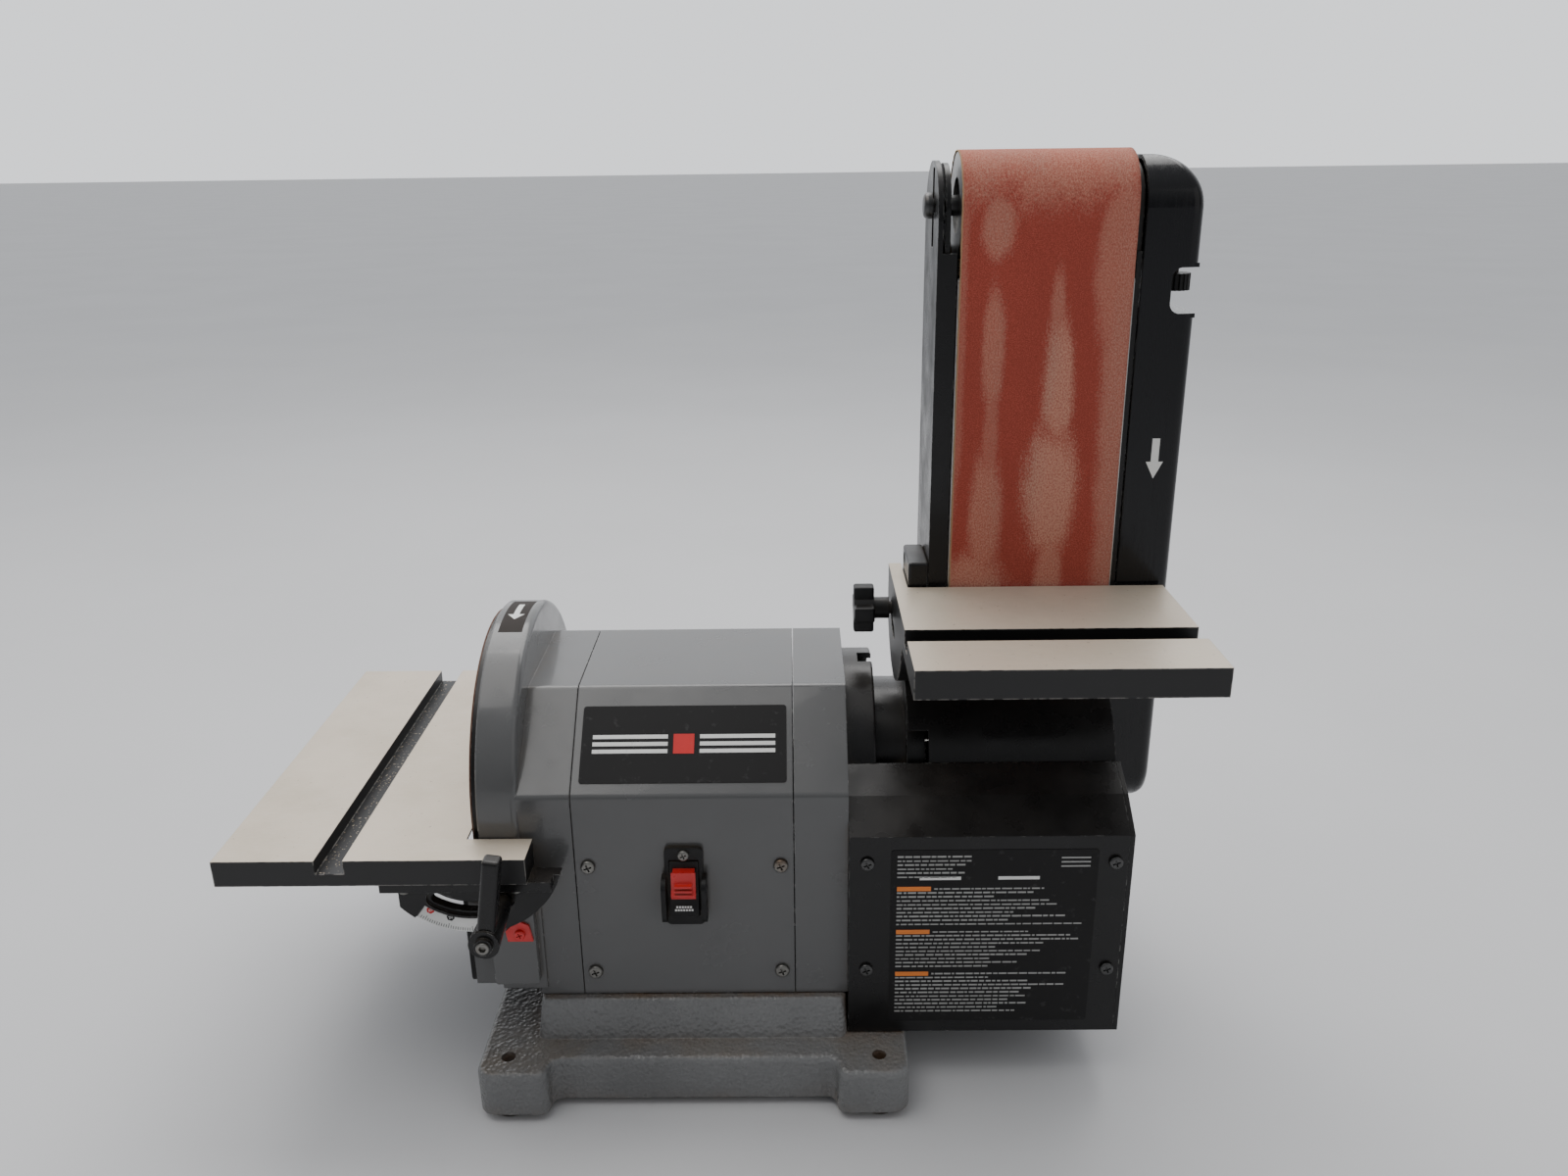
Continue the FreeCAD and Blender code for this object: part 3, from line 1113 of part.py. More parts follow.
def table_bracket():
    block = box(*BRACKET_X, *BRACKET_Y, *BRACKET_Z)
    block = rounded(block, 2.0, lambda e: along(e, 2) or at(e, 2, BRACKET_Z[1]))
    block = block.cut(cyl_x(4.05, BRACKET_X[0] - 1, BRACKET_X[1] - 2, *KNOB_YZ))
    for y, z in BRACKET_BOLTS:
        block = block.cut(cyl_x(2.5, BRACKET_X[0] - 1, BRACKET_X[1] + 1, y, z))
        block = block.cut(cyl_x(5.0, BRACKET_X[0] - 1, BRACKET_X[0] + 5, y, z))
    return block


def bracket_bolts():
    return group([placed(socket_screw(4.4, 4.4, 2.45, 9.0), (BRACKET_X[0] + 4.98, y, z), (-1, 0, 0))
                  for y, z in BRACKET_BOLTS])


def table_knob():
    """Four-lobed clamp knob with its stem and screw, on an X axis."""
    y, z = KNOB_YZ
    x0, x1 = 105.5, 118.6
    arms = []
    for angle in (0, 90):
        bar = box(x0, x1, -15.5, 15.5, -5.0, 5.0)
        bar = rounded(bar, 1.5, lambda e: True)
        bar.rotate(V(0, 0, 0), X_AXIS, angle)
        bar.translate(V(0, y, z))
        arms.append(bar)
    core = cyl_x(9.0, x0, x1, y, z)
    stem = cyl_x(7.0, x1 - 1, BELT_TABLE_X[0] - 1.7, y, z)
    stud = cyl_x(4.0, x1, BRACKET_X[1] - 3, y, z)
    return join(arms + [core, stem, stud])


# ---- build ----
save("base_casting", base_casting())
save("rubber_feet", rubber_feet())
save("motor_cover", motor_cover())
save("housing_screws", housing_screws())
save("disc_end_housing", disc_end_housing())
save("lower_disc_cover", lower_disc_cover())
save("belt_end_housing", belt_end_housing())
save("motor_can", motor_can())
save("motor_cradle", motor_cradle())
save("end_bell_left", end_bell(CAN_X[0], LEFT_SEAT, -1))
save("end_bell_right", end_bell(CAN_X[1], RIGHT_SEAT, 1))
save("shaft_bearings", group(bearing(LEFT_SEAT) + bearing(RIGHT_SEAT) + bearing(NECK_SEAT)))
save("stator_core", stator_core())
save("stator_windings", stator_windings())
save("rotor", rotor())
save("cooling_fan", cooling_fan())
save("motor_shaft", motor_shaft())
save("capacitor", capacitor())
save("capacitor_clip", capacitor_clip())
save("switch_frame", switch_frame())
save("switch_rocker", switch_rocker())
save("safety_key", safety_key())
save("nameplate", nameplate())
save("rating_label", rating_label())
save("strain_relief", strain_relief())
save("power_cord", power_cord())
save("disc_plate", disc_plate())
save("sanding_disc", sanding_disc())
save("set_screws", set_screws())
save("drive_drum", drive_drum())
save("abrasive_belt", abrasive_belt())
save("pivot_collar", pivot_collar())
save("frame_bolts", group(base_bolts() + collar_screws()))
save("belt_arm_frame", belt_arm_frame())
save("arm_lock_screw", arm_lock_screw())
save("platen", platen())
save("arm_rear_cover", arm_rear_cover())
save("side_cover", side_cover())
save("side_cover_screws", side_cover_screws())
save("idler_yoke", idler_yoke())
save("idler_axle", idler_axle())
save("idler_roller", idler_roller())
save("idler_bearings", idler_bearings())
save("tension_spring", tension_spring())
save("tension_lever", tension_lever())
save("tracking_knob", tracking_knob())
save("dust_box", dust_box())
save("dust_box_end_cover", dust_box_end_cover())
save("dust_box_screws", dust_box_screws())
save("disc_table", disc_table())
save("trunnions", group([trunnion(-1), trunnion(1)]))
save("trunnion_screws", trunnion_screws())
save("angle_scale", angle_scale())
save("scale_pointer", group([pointer(), pointer_screw()]))
save("front_lock_lever", lock_lever(-1))
save("rear_lock_lever", lock_lever(1))
save("belt_table", belt_table())
save("table_bracket", table_bracket())
save("bracket_bolts", bracket_bolts())
save("table_knob", table_knob())
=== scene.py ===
"""Looks of a bench belt and disc sander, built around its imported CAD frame."""
import json
import math
import random

import bmesh
import bpy
from mathutils import Matrix, Vector


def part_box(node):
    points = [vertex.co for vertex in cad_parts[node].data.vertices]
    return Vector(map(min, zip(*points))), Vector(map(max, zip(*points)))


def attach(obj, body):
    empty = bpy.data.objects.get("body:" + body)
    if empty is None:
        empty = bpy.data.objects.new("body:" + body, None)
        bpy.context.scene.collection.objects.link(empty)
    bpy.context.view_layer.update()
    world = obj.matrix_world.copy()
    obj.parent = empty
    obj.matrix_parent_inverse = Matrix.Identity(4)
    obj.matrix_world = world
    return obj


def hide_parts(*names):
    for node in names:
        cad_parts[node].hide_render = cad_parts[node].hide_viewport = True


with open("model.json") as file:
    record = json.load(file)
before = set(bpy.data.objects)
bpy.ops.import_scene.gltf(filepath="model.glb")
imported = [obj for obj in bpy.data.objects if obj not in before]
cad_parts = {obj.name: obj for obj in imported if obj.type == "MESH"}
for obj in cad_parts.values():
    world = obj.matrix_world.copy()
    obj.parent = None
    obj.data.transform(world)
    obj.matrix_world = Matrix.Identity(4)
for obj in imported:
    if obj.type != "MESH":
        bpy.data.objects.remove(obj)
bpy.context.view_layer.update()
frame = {"nodes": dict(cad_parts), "record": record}
MM = 0.001
NODES = frame["nodes"]

# ---- places and sizes, in metres, in the frame's axes ----
SHAFT_Z = 184 * MM        # height of the motor shaft
LIFT = 0.08 * MM          # how far printed film stands off the face it is stuck to
FRONT_FOOT = 0.30         # height of the belt table, where the belt's working length starts
SPLICE_FOOT = 0.36        # height at which the belt's splice leaves its left edge
SPLICE_SLOPE = 0.35       # how fast the splice climbs across the belt
SPLICE_HALF = 1.6 * MM
CLOTH_THICK = 0.85 * MM   # belt cloth with its grit
PIVOT = Vector((-134 * MM, 0, 180.5 * MM))               # axis on which the disc table tilts
LOCK_R, LOCK_ANGLE = 40.5 * MM, math.radians(-62.8)      # where the clamp screws stand, seen from the pivot
LOCK_POINT = (PIVOT.x + LOCK_R * math.cos(LOCK_ANGLE), PIVOT.z + LOCK_R * math.sin(LOCK_ANGLE))
ZERO_ANGLE = math.radians(-76.3)                         # where the scale's zero stands, likewise
SLOT_X = (-222.4 * MM, -205.0 * MM)                      # sides of the disc table's mitre slot
SLOT_DEPTH = 9 * MM
GUARD_DECAL = (-125 * MM, 15.5 * MM, -22 * MM, 30 * MM)  # x, width, rear and front end along the rim
COVER_ARROW = (288 * MM, 384 * MM)                       # x and z of the tip of the side cover's arrow
FLOOR_Z = -0.2 * MM                                      # just under the feet

# ---- camera and light ----
CAMERA_PLACE = (67.33 * MM, -753.07 * MM, 574.63 * MM)
PITCH, YAW, ROLL = math.radians(19.77), math.radians(-0.56), math.radians(0.77)
SENSOR = 36.0
FOCAL = 27.72
ROOM_LIGHT, WALL_LIGHT, CEILING_LIGHT = 0.19, 1.10, 0.45

# ---- colours, linear ----
HOUSING_GREY = (0.094, 0.095, 0.096)
BASE_GREY = (0.165, 0.168, 0.169)
EDGE_METAL = (0.42, 0.42, 0.40)
DUST = (0.30, 0.245, 0.185)
RUST_DUST = (0.16, 0.10, 0.06)
BLACK = (0.0042, 0.0040, 0.0043)
GROUND_STEEL = (0.63, 0.545, 0.435)
BELT_RED = (0.470, 0.092, 0.066)
BELT_WORN = (0.60, 0.30, 0.215)
SIGN_RED = (0.62, 0.018, 0.018)
SIGN_ORANGE = (0.80, 0.22, 0.035)
PRINT_WHITE = (0.78, 0.78, 0.76)
# dust on the housing, also used as painted shade in its crevices
HOUSING_DUST_AND_SHADE = (0.12, 0.095, 0.07)
BASE_DUST = (0.20, 0.165, 0.125)
# dust on black paint, which also stands for a painted sheen on its upward faces
BLACK_DUST_AND_SHEEN = (0.26, 0.235, 0.215)
CHIP_DUST = (0.42, 0.34, 0.25)


# ---- material kit ----
class Shader:
    """One procedural material, with short calls for the nodes it is made of."""

    def __init__(self, name):
        self.material = bpy.data.materials.new(name)
        self.material.use_nodes = True
        self.tree = self.material.node_tree
        self.tree.nodes.clear()
        output = self.tree.nodes.new("ShaderNodeOutputMaterial")
        self.surface = self.tree.nodes.new("ShaderNodeBsdfPrincipled")
        self.tree.links.new(self.surface.outputs[0], output.inputs[0])
        where = self.tree.nodes.new("ShaderNodeTexCoord")
        self.place = where.outputs["Object"]
        split = self.node("ShaderNodeSeparateXYZ", {0: self.place})
        self.x, self.y, self.z = split.outputs[0], split.outputs[1], split.outputs[2]
        facing = self.node("ShaderNodeSeparateXYZ", {0: where.outputs["Normal"]})
        self.facing_up = facing.outputs[2]

    def node(self, kind, inputs, **settings):
        made = self.tree.nodes.new(kind)
        for key, value in settings.items():
            setattr(made, key, value)
        for key, value in inputs.items():
            self.put(made.inputs[key], value)
        return made

    def put(self, socket, value):
        if isinstance(value, bpy.types.NodeSocket):
            self.tree.links.new(value, socket)
        elif isinstance(value, tuple) and socket.type == "RGBA":
            socket.default_value = (*value, 1.0)
        else:
            socket.default_value = value

    def calc(self, operation, a, b=0.0, clamp=False):
        return self.node("ShaderNodeMath", {0: a, 1: b}, operation=operation, use_clamp=clamp).outputs[0]

    def fade(self, value, low, high):
        """0 where value is low, 1 where it is high, smooth between."""
        made = self.node("ShaderNodeMapRange", {0: value, 1: low, 2: high}, interpolation_type="SMOOTHSTEP")
        return made.outputs[0]

    def mix(self, share, first, second):
        made = self.node("ShaderNodeMix", {0: share, 6: first, 7: second}, data_type="RGBA")
        return made.outputs[2]

    def noise(self, scale, detail=3.0, stretch=(1.0, 1.0, 1.0), rough=0.55):
        placed = self.node("ShaderNodeVectorMath", {0: self.place, 1: Vector(stretch)},
                           operation="MULTIPLY")
        made = self.node("ShaderNodeTexNoise", {"Vector": placed.outputs[0], "Scale": scale,
                                                "Detail": detail, "Roughness": rough})
        return made.outputs[0]

    def cells(self, scale, randomness=1.0):
        return self.node("ShaderNodeTexVoronoi", {"Vector": self.place, "Scale": scale,
                                                  "Randomness": randomness}).outputs[0]

    def edges(self, radius):
        """1 on sharp outer and inner edges, 0 on flat faces."""
        bevel = self.node("ShaderNodeBevel", {0: radius}, samples=6)
        flat = self.node("ShaderNodeNewGeometry", {})
        same = self.node("ShaderNodeVectorMath", {0: bevel.outputs[0], 1: flat.outputs["True Normal"]},
                         operation="DOT_PRODUCT")
        return self.fade(same.outputs["Value"], 0.985, 0.86)

    def corners(self, distance):
        """1 in crevices, 0 in the open."""
        shade = self.node("ShaderNodeAmbientOcclusion", {1: distance}, samples=6)
        return self.fade(shade.outputs[1], 0.75, 0.25)

    def bump(self, height, depth, soften=0.0):
        inputs = {"Strength": 1.0, "Distance": depth, "Height": height}
        if soften:
            inputs["Normal"] = self.node("ShaderNodeBevel", {0: soften}, samples=4).outputs[0]
        self.put(self.surface.inputs["Normal"], self.node("ShaderNodeBump", inputs).outputs[0])

    def finish(self, color, rough, metallic=0.0, coat=0.0, specular=0.5):
        self.put(self.surface.inputs["Base Color"], color)
        self.put(self.surface.inputs["Roughness"], rough)
        self.put(self.surface.inputs["Metallic"], metallic)
        self.put(self.surface.inputs["Coat Weight"], coat)
        self.put(self.surface.inputs["Specular IOR Level"], specular)
        return self.material

    def varied(self, color, amount, scale=9.0):
        """The colour, lighter and darker by amount in soft patches."""
        light = tuple(c * (1 + amount) for c in color)
        dark = tuple(c * (1 - amount) for c in color)
        return self.mix(self.fade(self.noise(scale, 5), 0.3, 0.7), dark, light)

    def dusty(self, color, dust=DUST, amount=0.5, distance=0.02):
        """The colour mixed towards a dust colour in crevices found by ambient occlusion and in a thin film
        on upward faces; in crevices this stands for dust, and on the housing also for painted shade.
        """
        patches = self.fade(self.noise(55, 6), 0.35, 0.75)
        crevice = self.calc("MULTIPLY", self.corners(distance), amount)
        on_upward_faces = self.calc("MULTIPLY", self.fade(self.facing_up, 0.6, 1.0), 0.14 * amount)
        laid = self.calc("ADD", crevice, on_upward_faces)
        share = self.calc("MULTIPLY", laid, self.calc("ADD", patches, 0.35), True)
        return self.mix(share, color, dust)


# ---- materials ----
def base_iron():
    s = Shader("hammered_base_paint")
    wear = s.calc("MULTIPLY", s.edges(1.4 * MM), s.fade(s.noise(120, 6), 0.42, 0.62))
    color = s.mix(s.calc("MULTIPLY", wear, 0.55), s.varied(BASE_GREY, 0.16), EDGE_METAL)
    top_dust = s.calc("MULTIPLY", s.fade(s.facing_up, 0.7, 1.0), s.fade(s.noise(26, 6), 0.38, 0.7))
    color = s.mix(s.calc("MULTIPLY", top_dust, 0.45), color, BASE_DUST)
    color = s.dusty(color, RUST_DUST, 0.8, 0.03)
    hammered = s.cells(380)
    glints = s.calc("MULTIPLY", s.fade(hammered, 0.10, 0.02), s.fade(s.noise(90, 3), 0.4, 0.7))
    color = s.mix(s.calc("MULTIPLY", glints, 0.35), color, EDGE_METAL)
    s.bump(s.calc("ADD", hammered, s.calc("MULTIPLY", s.noise(160, 4), 1.2)), 0.65 * MM, 1.2 * MM)
    return s.finish(color, s.fade(s.noise(70), -0.4, 1.9), coat=0.12)


def grey_housing():
    s = Shader("housing_paint")
    chips = s.calc("MULTIPLY", s.edges(0.8 * MM), s.fade(s.noise(170, 7), 0.55, 0.66))
    specks = s.fade(s.cells(150), 0.055, 0.03)
    color = s.mix(s.calc("MULTIPLY", chips, 0.8), s.varied(HOUSING_GREY, 0.07, 6.0), EDGE_METAL)
    color = s.mix(s.calc("MULTIPLY", specks, s.fade(s.noise(14), 0.56, 0.7)), color, DUST)
    # crevices of the housing take a brown tone from ambient occlusion: dust, and painted shade where the
    # guard wall meets the housing
    color = s.dusty(color, HOUSING_DUST_AND_SHADE, 0.75, 0.022)
    s.bump(s.noise(900, 2), 0.03 * MM, 0.9 * MM)
    return s.finish(color, s.fade(s.noise(30, 5), -0.15, 2.1), coat=0.25)


def black_metal():
    s = Shader("black_paint")
    wear = s.calc("MULTIPLY", s.edges(0.7 * MM), s.fade(s.noise(210, 6), 0.5, 0.64))
    color = s.mix(s.calc("MULTIPLY", wear, 0.5), s.varied(BLACK, 0.3), EDGE_METAL)
    # upward faces of black paint turn lighter brown: dust, and a painted sheen for the reflection they
    # catch
    on_upward_faces = s.calc("MULTIPLY", s.fade(s.facing_up, 0.3, 1.0), s.fade(s.noise(35, 6), 0.0, 0.9))
    color = s.mix(s.calc("MULTIPLY", on_upward_faces, 0.10), color, BLACK_DUST_AND_SHEEN)
    color = s.dusty(color, DUST, 0.16, 0.010)
    s.bump(s.noise(1500, 2), 0.03 * MM, 0.7 * MM)
    return s.finish(color, s.fade(s.noise(40, 4), -0.45, 2.2), specular=0.38)


def black_plastic():
    s = Shader("black_plastic")
    color = s.dusty(s.varied((0.006, 0.006, 0.0063), 0.2), DUST, 0.2, 0.01)
    s.bump(s.noise(2600, 2), 0.05 * MM, 0.5 * MM)
    return s.finish(color, s.fade(s.noise(60, 3), -0.7, 1.9), specular=0.3)


def gloss_cover():
    s = Shader("glossy_cover")
    color = s.dusty(s.varied((0.0038, 0.0038, 0.0050), 0.25, 5.0), DUST, 0.12, 0.01)
    scratches = s.noise(90, 8, (6.0, 6.0, 0.4))
    s.bump(scratches, 0.02 * MM, 1.0 * MM)
    return s.finish(color, s.fade(scratches, -0.35, 2.4), coat=0.12, specular=0.3)


def rubber():
    s = Shader("rubber")
    color = s.dusty(s.varied((0.012, 0.012, 0.012), 0.25), DUST, 0.4, 0.02)
    s.bump(s.noise(1400, 2), 0.06 * MM)
    return s.finish(color, 0.75)


def bright_metal(name, color, rough, grain=(1.0, 14.0, 14.0), spots=0.3):
    s = Shader(name)
    lines = s.noise(260, 3, grain)
    stain = s.calc("MULTIPLY", s.fade(s.noise(45, 5), 0.52, 0.72), spots)
    shade = s.mix(stain, s.mix(lines, tuple(c * 0.8 for c in color), color), RUST_DUST)
    s.bump(lines, 0.02 * MM, 0.4 * MM)
    return s.finish(shade, s.calc("ADD", rough, s.calc("MULTIPLY", lines, 0.25)), metallic=1.0)


def steel():
    return bright_metal("bright_steel", (0.56, 0.55, 0.53), 0.18)


def zinc():
    return bright_metal("zinc_screw", (0.24, 0.235, 0.22), 0.28, (5.0, 5.0, 5.0), 0.85)


def dark_screw():
    return bright_metal("black_oxide", (0.10, 0.10, 0.10), 0.22, (5.0, 5.0, 5.0), 0.35)


def aluminium():
    # base colour kept far below bright aluminium: painted shade for the idler roller's end, which sits in
    # shadow
    return bright_metal("aluminium_darkened_as_shade", (0.46, 0.46, 0.45), 0.22, (14.0, 1.0, 1.0), 0.3)


def lamination():
    return bright_metal("laminations", (0.34, 0.33, 0.32), 0.35, (12.0, 0.3, 0.3), 0.3)


def copper():
    return bright_metal("varnished_copper", (0.60, 0.26, 0.12), 0.2, (0.5, 9.0, 9.0), 0.15)


def ground_table():
    """Ground top face with fine scratches; the sides and slots keep their black paint."""
    s = Shader("ground_table")
    scratches = s.noise(75, 7, (1.5, 16.0, 1.0))
    patina = s.fade(s.noise(17, 6), 0.35, 0.7)
    metal = s.mix(s.calc("MULTIPLY", patina, 0.5), GROUND_STEEL, tuple(c * 0.74 for c in GROUND_STEEL))
    metal = s.mix(s.calc("MULTIPLY", s.fade(scratches, 0.5, 0.75), 0.35), metal, (0.66, 0.63, 0.57))
    metal = s.mix(s.calc("MULTIPLY", s.fade(s.noise(310, 4), 0.66, 0.74), 0.55), metal, RUST_DUST)
    nicks = s.calc("MULTIPLY", s.edges(1.3 * MM), s.fade(s.noise(210, 6), 0.40, 0.52))
    paint = s.mix(s.calc("MULTIPLY", nicks, 0.85), s.varied(BLACK, 0.3), (0.36, 0.34, 0.31))
    debris = s.calc("MULTIPLY", s.fade(s.noise(420, 3), 0.62, 0.68), s.fade(s.facing_up, 0.5, 0.9))
    paint = s.mix(debris, paint, (0.42, 0.35, 0.27))
    tops = [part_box(table)[1].z for table in ("belt_table", "disc_table")]
    near_top = [s.fade(s.calc("ABSOLUTE", s.calc("SUBTRACT", s.z, top)), 0.9 * MM, 0.4 * MM)
                for top in tops]
    top_face = s.calc("MULTIPLY", s.calc("ADD", *near_top, True), s.fade(s.facing_up, 0.5, 0.8))
    s.bump(scratches, 0.03 * MM, 0.5 * MM)
    rough = s.mix(top_face, (0.42, 0.42, 0.42), s.mix(patina, (0.34, 0.34, 0.34), (0.50, 0.50, 0.50)))
    return s.finish(s.mix(top_face, paint, metal), rough, metallic=s.calc("MULTIPLY", top_face, 0.30))


# worn places of the belt: across 0 to 1, height 0 to 1, half width, half height, strength
WORN_PLACES = (
    (0.50, 1.06, 1.10, 0.165, 0.66),     # top bend
    (0.22, 0.85, 0.10, 0.065, 0.62),
    (0.92, 0.78, 0.13, 0.180, 0.55),
    (1.00, 0.40, 0.14, 0.600, 0.60),     # right edge
    (0.00, 0.65, 0.05, 0.500, 0.35),     # left edge
    (0.21, 0.58, 0.065, 0.135, 0.58),
    (0.215, 0.40, 0.05, 0.150, 0.40),
    (0.20, 0.21, 0.10, 0.150, 0.66),
    (0.13, 0.05, 0.19, 0.090, 0.80),
    (0.58, 0.69, 0.045, 0.080, 0.50),    # long worn streak, narrow above and wide below
    (0.61, 0.53, 0.085, 0.150, 0.95),
    (0.60, 0.28, 0.165, 0.140, 1.00),
    (0.61, 0.07, 0.08, 0.110, 0.72),
    (0.50, -0.02, 0.60, 0.060, 0.60))


def belt_grit():
    """Red grit on cloth, worn pale where work has been pressed on the front."""
    s = Shader("abrasive_belt")
    low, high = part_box("abrasive_belt")
    across = s.calc("DIVIDE", s.calc("SUBTRACT", s.x, low.x), high.x - low.x)
    height = s.calc("DIVIDE", s.calc("SUBTRACT", s.z, FRONT_FOOT), high.z - FRONT_FOOT)
    wander = s.calc("MULTIPLY", s.calc("SUBTRACT", s.noise(48, 7, (1.0, 1.0, 0.40), 0.60), 0.5), 1.25)
    speckle = s.calc("MULTIPLY", s.calc("SUBTRACT", s.noise(900, 2, (1.0, 1.0, 0.7), 0.7), 0.5), 1.1)
    ragged = s.calc("ADD", wander, speckle)
    worn = 0.0
    for x, z, half_x, half_z, strength in WORN_PLACES:
        dx = s.calc("DIVIDE", s.calc("SUBTRACT", across, x), half_x)
        dz = s.calc("DIVIDE", s.calc("SUBTRACT", height, z), half_z)
        far = s.calc("SQRT", s.calc("ADD", s.calc("MULTIPLY", dx, dx), s.calc("MULTIPLY", dz, dz)))
        patch = s.fade(s.calc("ADD", far, ragged), 1.32, 0.62)
        worn = s.calc("MAXIMUM", worn, s.calc("MULTIPLY", patch, strength))
    grain = s.noise(1250, 4, (1.0, 1.0, 0.6), 0.75)
    rubbed = s.calc("ADD", s.calc("MULTIPLY", s.fade(grain, 0.38, 0.62), 0.85), 0.32)
    worn = s.calc("MULTIPLY", worn, rubbed, True)
    grit = s.noise(1500, 3, (1.0, 1.0, 1.0), 0.7)
    shade = s.fade(s.noise(20, 4, (1.0, 1.0, 0.3)), 0.3, 0.7)
    red = s.mix(shade, tuple(c * 0.84 for c in BELT_RED), BELT_RED)
    red = s.mix(s.fade(grit, 0.40, 0.62), tuple(c * 0.62 for c in BELT_RED), red)
    red = s.mix(s.calc("MULTIPLY", s.fade(grit, 0.56, 0.70), 0.45), red, (0.55, 0.14, 0.10))
    streaks = s.fade(s.noise(32, 5, (1.0, 1.0, 0.16)), 0.42, 0.62)
    pale = s.mix(streaks, BELT_WORN, (0.54, 0.31, 0.23))
    color = s.mix(worn, red, pale)
    frayed = s.fade(across, 0.014, 0.004)
    color = s.mix(s.calc("MULTIPLY", frayed, 0.8), color, (0.46, 0.31, 0.17))
    s.bump(s.calc("MULTIPLY", grit, s.calc("SUBTRACT", 1.0, s.calc("MULTIPLY", worn, 0.6))), 0.30 * MM)
    return s.finish(color, s.calc("SUBTRACT", 0.92, s.calc("MULTIPLY", worn, 0.14)), specular=0.18)


def belt_cloth():
    s = Shader("belt_backing")
    threads = 7000.0          # radians per metre: a thread about every 0.9 mm
    weave = s.calc("MULTIPLY", s.calc("SINE", s.calc("MULTIPLY", s.x, threads)),
                   s.calc("SINE", s.calc("MULTIPLY", s.z, threads)))
    s.bump(weave, 0.08 * MM)
    return s.finish(s.varied((0.42, 0.30, 0.17), 0.2, 30.0), 0.9, specular=0.2)


def disc_grit():
    s = Shader("sanding_disc")
    grit = s.noise(2200, 2)
    scuffs = s.fade(s.noise(28, 6), 0.42, 0.66)
    color = s.mix(s.calc("MULTIPLY", scuffs, 0.6), (0.105, 0.045, 0.03), (0.24, 0.17, 0.13))
    color = s.mix(s.calc("MULTIPLY", s.fade(grit, 0.55, 0.75), 0.3), color, (0.3, 0.2, 0.16))
    s.bump(grit, 0.25 * MM)
    return s.finish(color, 0.9, specular=0.25)


def print_film(name, color, rough=0.38, specular=0.35):
    s = Shader(name)
    rubbed = s.calc("MULTIPLY", s.fade(s.noise(180, 6), 0.60, 0.72), 0.35)
    s.bump(s.noise(300, 3), 0.015 * MM)
    faded = tuple(0.55 * c + 0.05 for c in color)
    return s.finish(s.mix(rubbed, s.varied(color, 0.06, 30.0), faded), rough, specular=specular)


def worn_print():
    return print_film("worn_print", (0.034, 0.028, 0.025), 0.6, 0.12)


def label_black():
    return print_film("label_black", (0.0085, 0.008, 0.0083), 0.55, 0.25)


def scale_white():
    return print_film("scale_white", PRINT_WHITE)


def red_plastic():
    s = Shader("red_plastic")
    color = s.dusty(s.varied(SIGN_RED, 0.12, 40.0), (0.25, 0.12, 0.09), 0.35, 0.004)
    s.bump(s.noise(1800, 2), 0.03 * MM, 0.3 * MM)
    return s.finish(color, s.fade(s.noise(90, 3), -0.6, 2.2), coat=0.2)


SLOTS = {"base_iron": base_iron, "rubber": rubber, "zinc": zinc, "dark_screw": dark_screw,
         "grey_housing": grey_housing, "black_plastic": black_plastic, "gloss_cover": gloss_cover,
         "black_metal": black_metal, "steel": steel, "lamination": lamination, "copper": copper,
         "aluminium": aluminium, "ground_table": ground_table, "belt_grit": belt_grit,
         "disc_grit": disc_grit, "label_black": label_black, "scale_white": scale_white,
         "red_plastic": red_plastic}
MADE = {name: build() for name, build in SLOTS.items()}
PRINT = {"white": print_film("print_white", PRINT_WHITE),
         "small": print_film("small_print", (0.36, 0.36, 0.35)),
         "orange": print_film("print_orange", SIGN_ORANGE),
         "red": print_film("print_red", SIGN_RED),
         "black": MADE["label_black"]}
BACKING = belt_cloth()


def dress(node, material):
    mesh = NODES[node].data
    mesh.materials.clear()
    mesh.materials.append(material)


def dress_all():
    for part in frame["record"]["subparts"]:
        dress(part["node"], MADE[part["material_slot"]])


# ---- mesh kit ----
def mesh_piece(name, mesh, body, materials):
    shape = bpy.data.meshes.new(name)
    mesh.normal_update()
    mesh.to_mesh(shape)
    mesh.free()
    for material in materials:
        shape.materials.append(material)
    piece = bpy.data.objects.new(name, shape)
    bpy.context.scene.collection.objects.link(piece)
    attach(piece, body)
    return piece


class Plane:
    """A flat or rolled face: point(u, v, lift) gives the place of a print's u, v in metres."""

    def __init__(self, origin, along, up):
        self.origin = Vector(origin)
        self.along = Vector(along).normalized()
        self.up = Vector(up).normalized()
        self.out = self.along.cross(self.up)

    def point(self, u, v, lift):
        return self.origin + self.along * u + self.up * v + self.out * lift


def front_face(node):
    """A flat plate's front, with its origin at the lower left corner, then its width and height."""
    shape = NODES[node].data
    widest = max(shape.polygons, key=lambda face: face.area * (face.normal.y < -0.1))
    out = widest.normal.copy()
    along = Vector((1, 0, 0))
    up = out.cross(along)
    places = [vertex.co for vertex in shape.vertices]
    reach = max(place.dot(out) for place in places)
    heights = [place.dot(up) for place in places]
    lefts = [place.x for place in places]
    origin = along * min(lefts) + up * min(heights) + out * (reach + LIFT / 2)
    return Plane(origin, along, up), max(lefts) - min(lefts), max(heights) - min(heights)


class Rim:
    """The outside of a cylinder about the shaft: u runs along X, v round it from the top forward."""

    def __init__(self, x, radius):
        self.x = x
        self.radius = radius

    def point(self, u, v, lift):
        angle = v / self.radius
        r = self.radius + lift
        return Vector((self.x + u, -r * math.sin(angle), SHAFT_Z + r * math.cos(angle)))


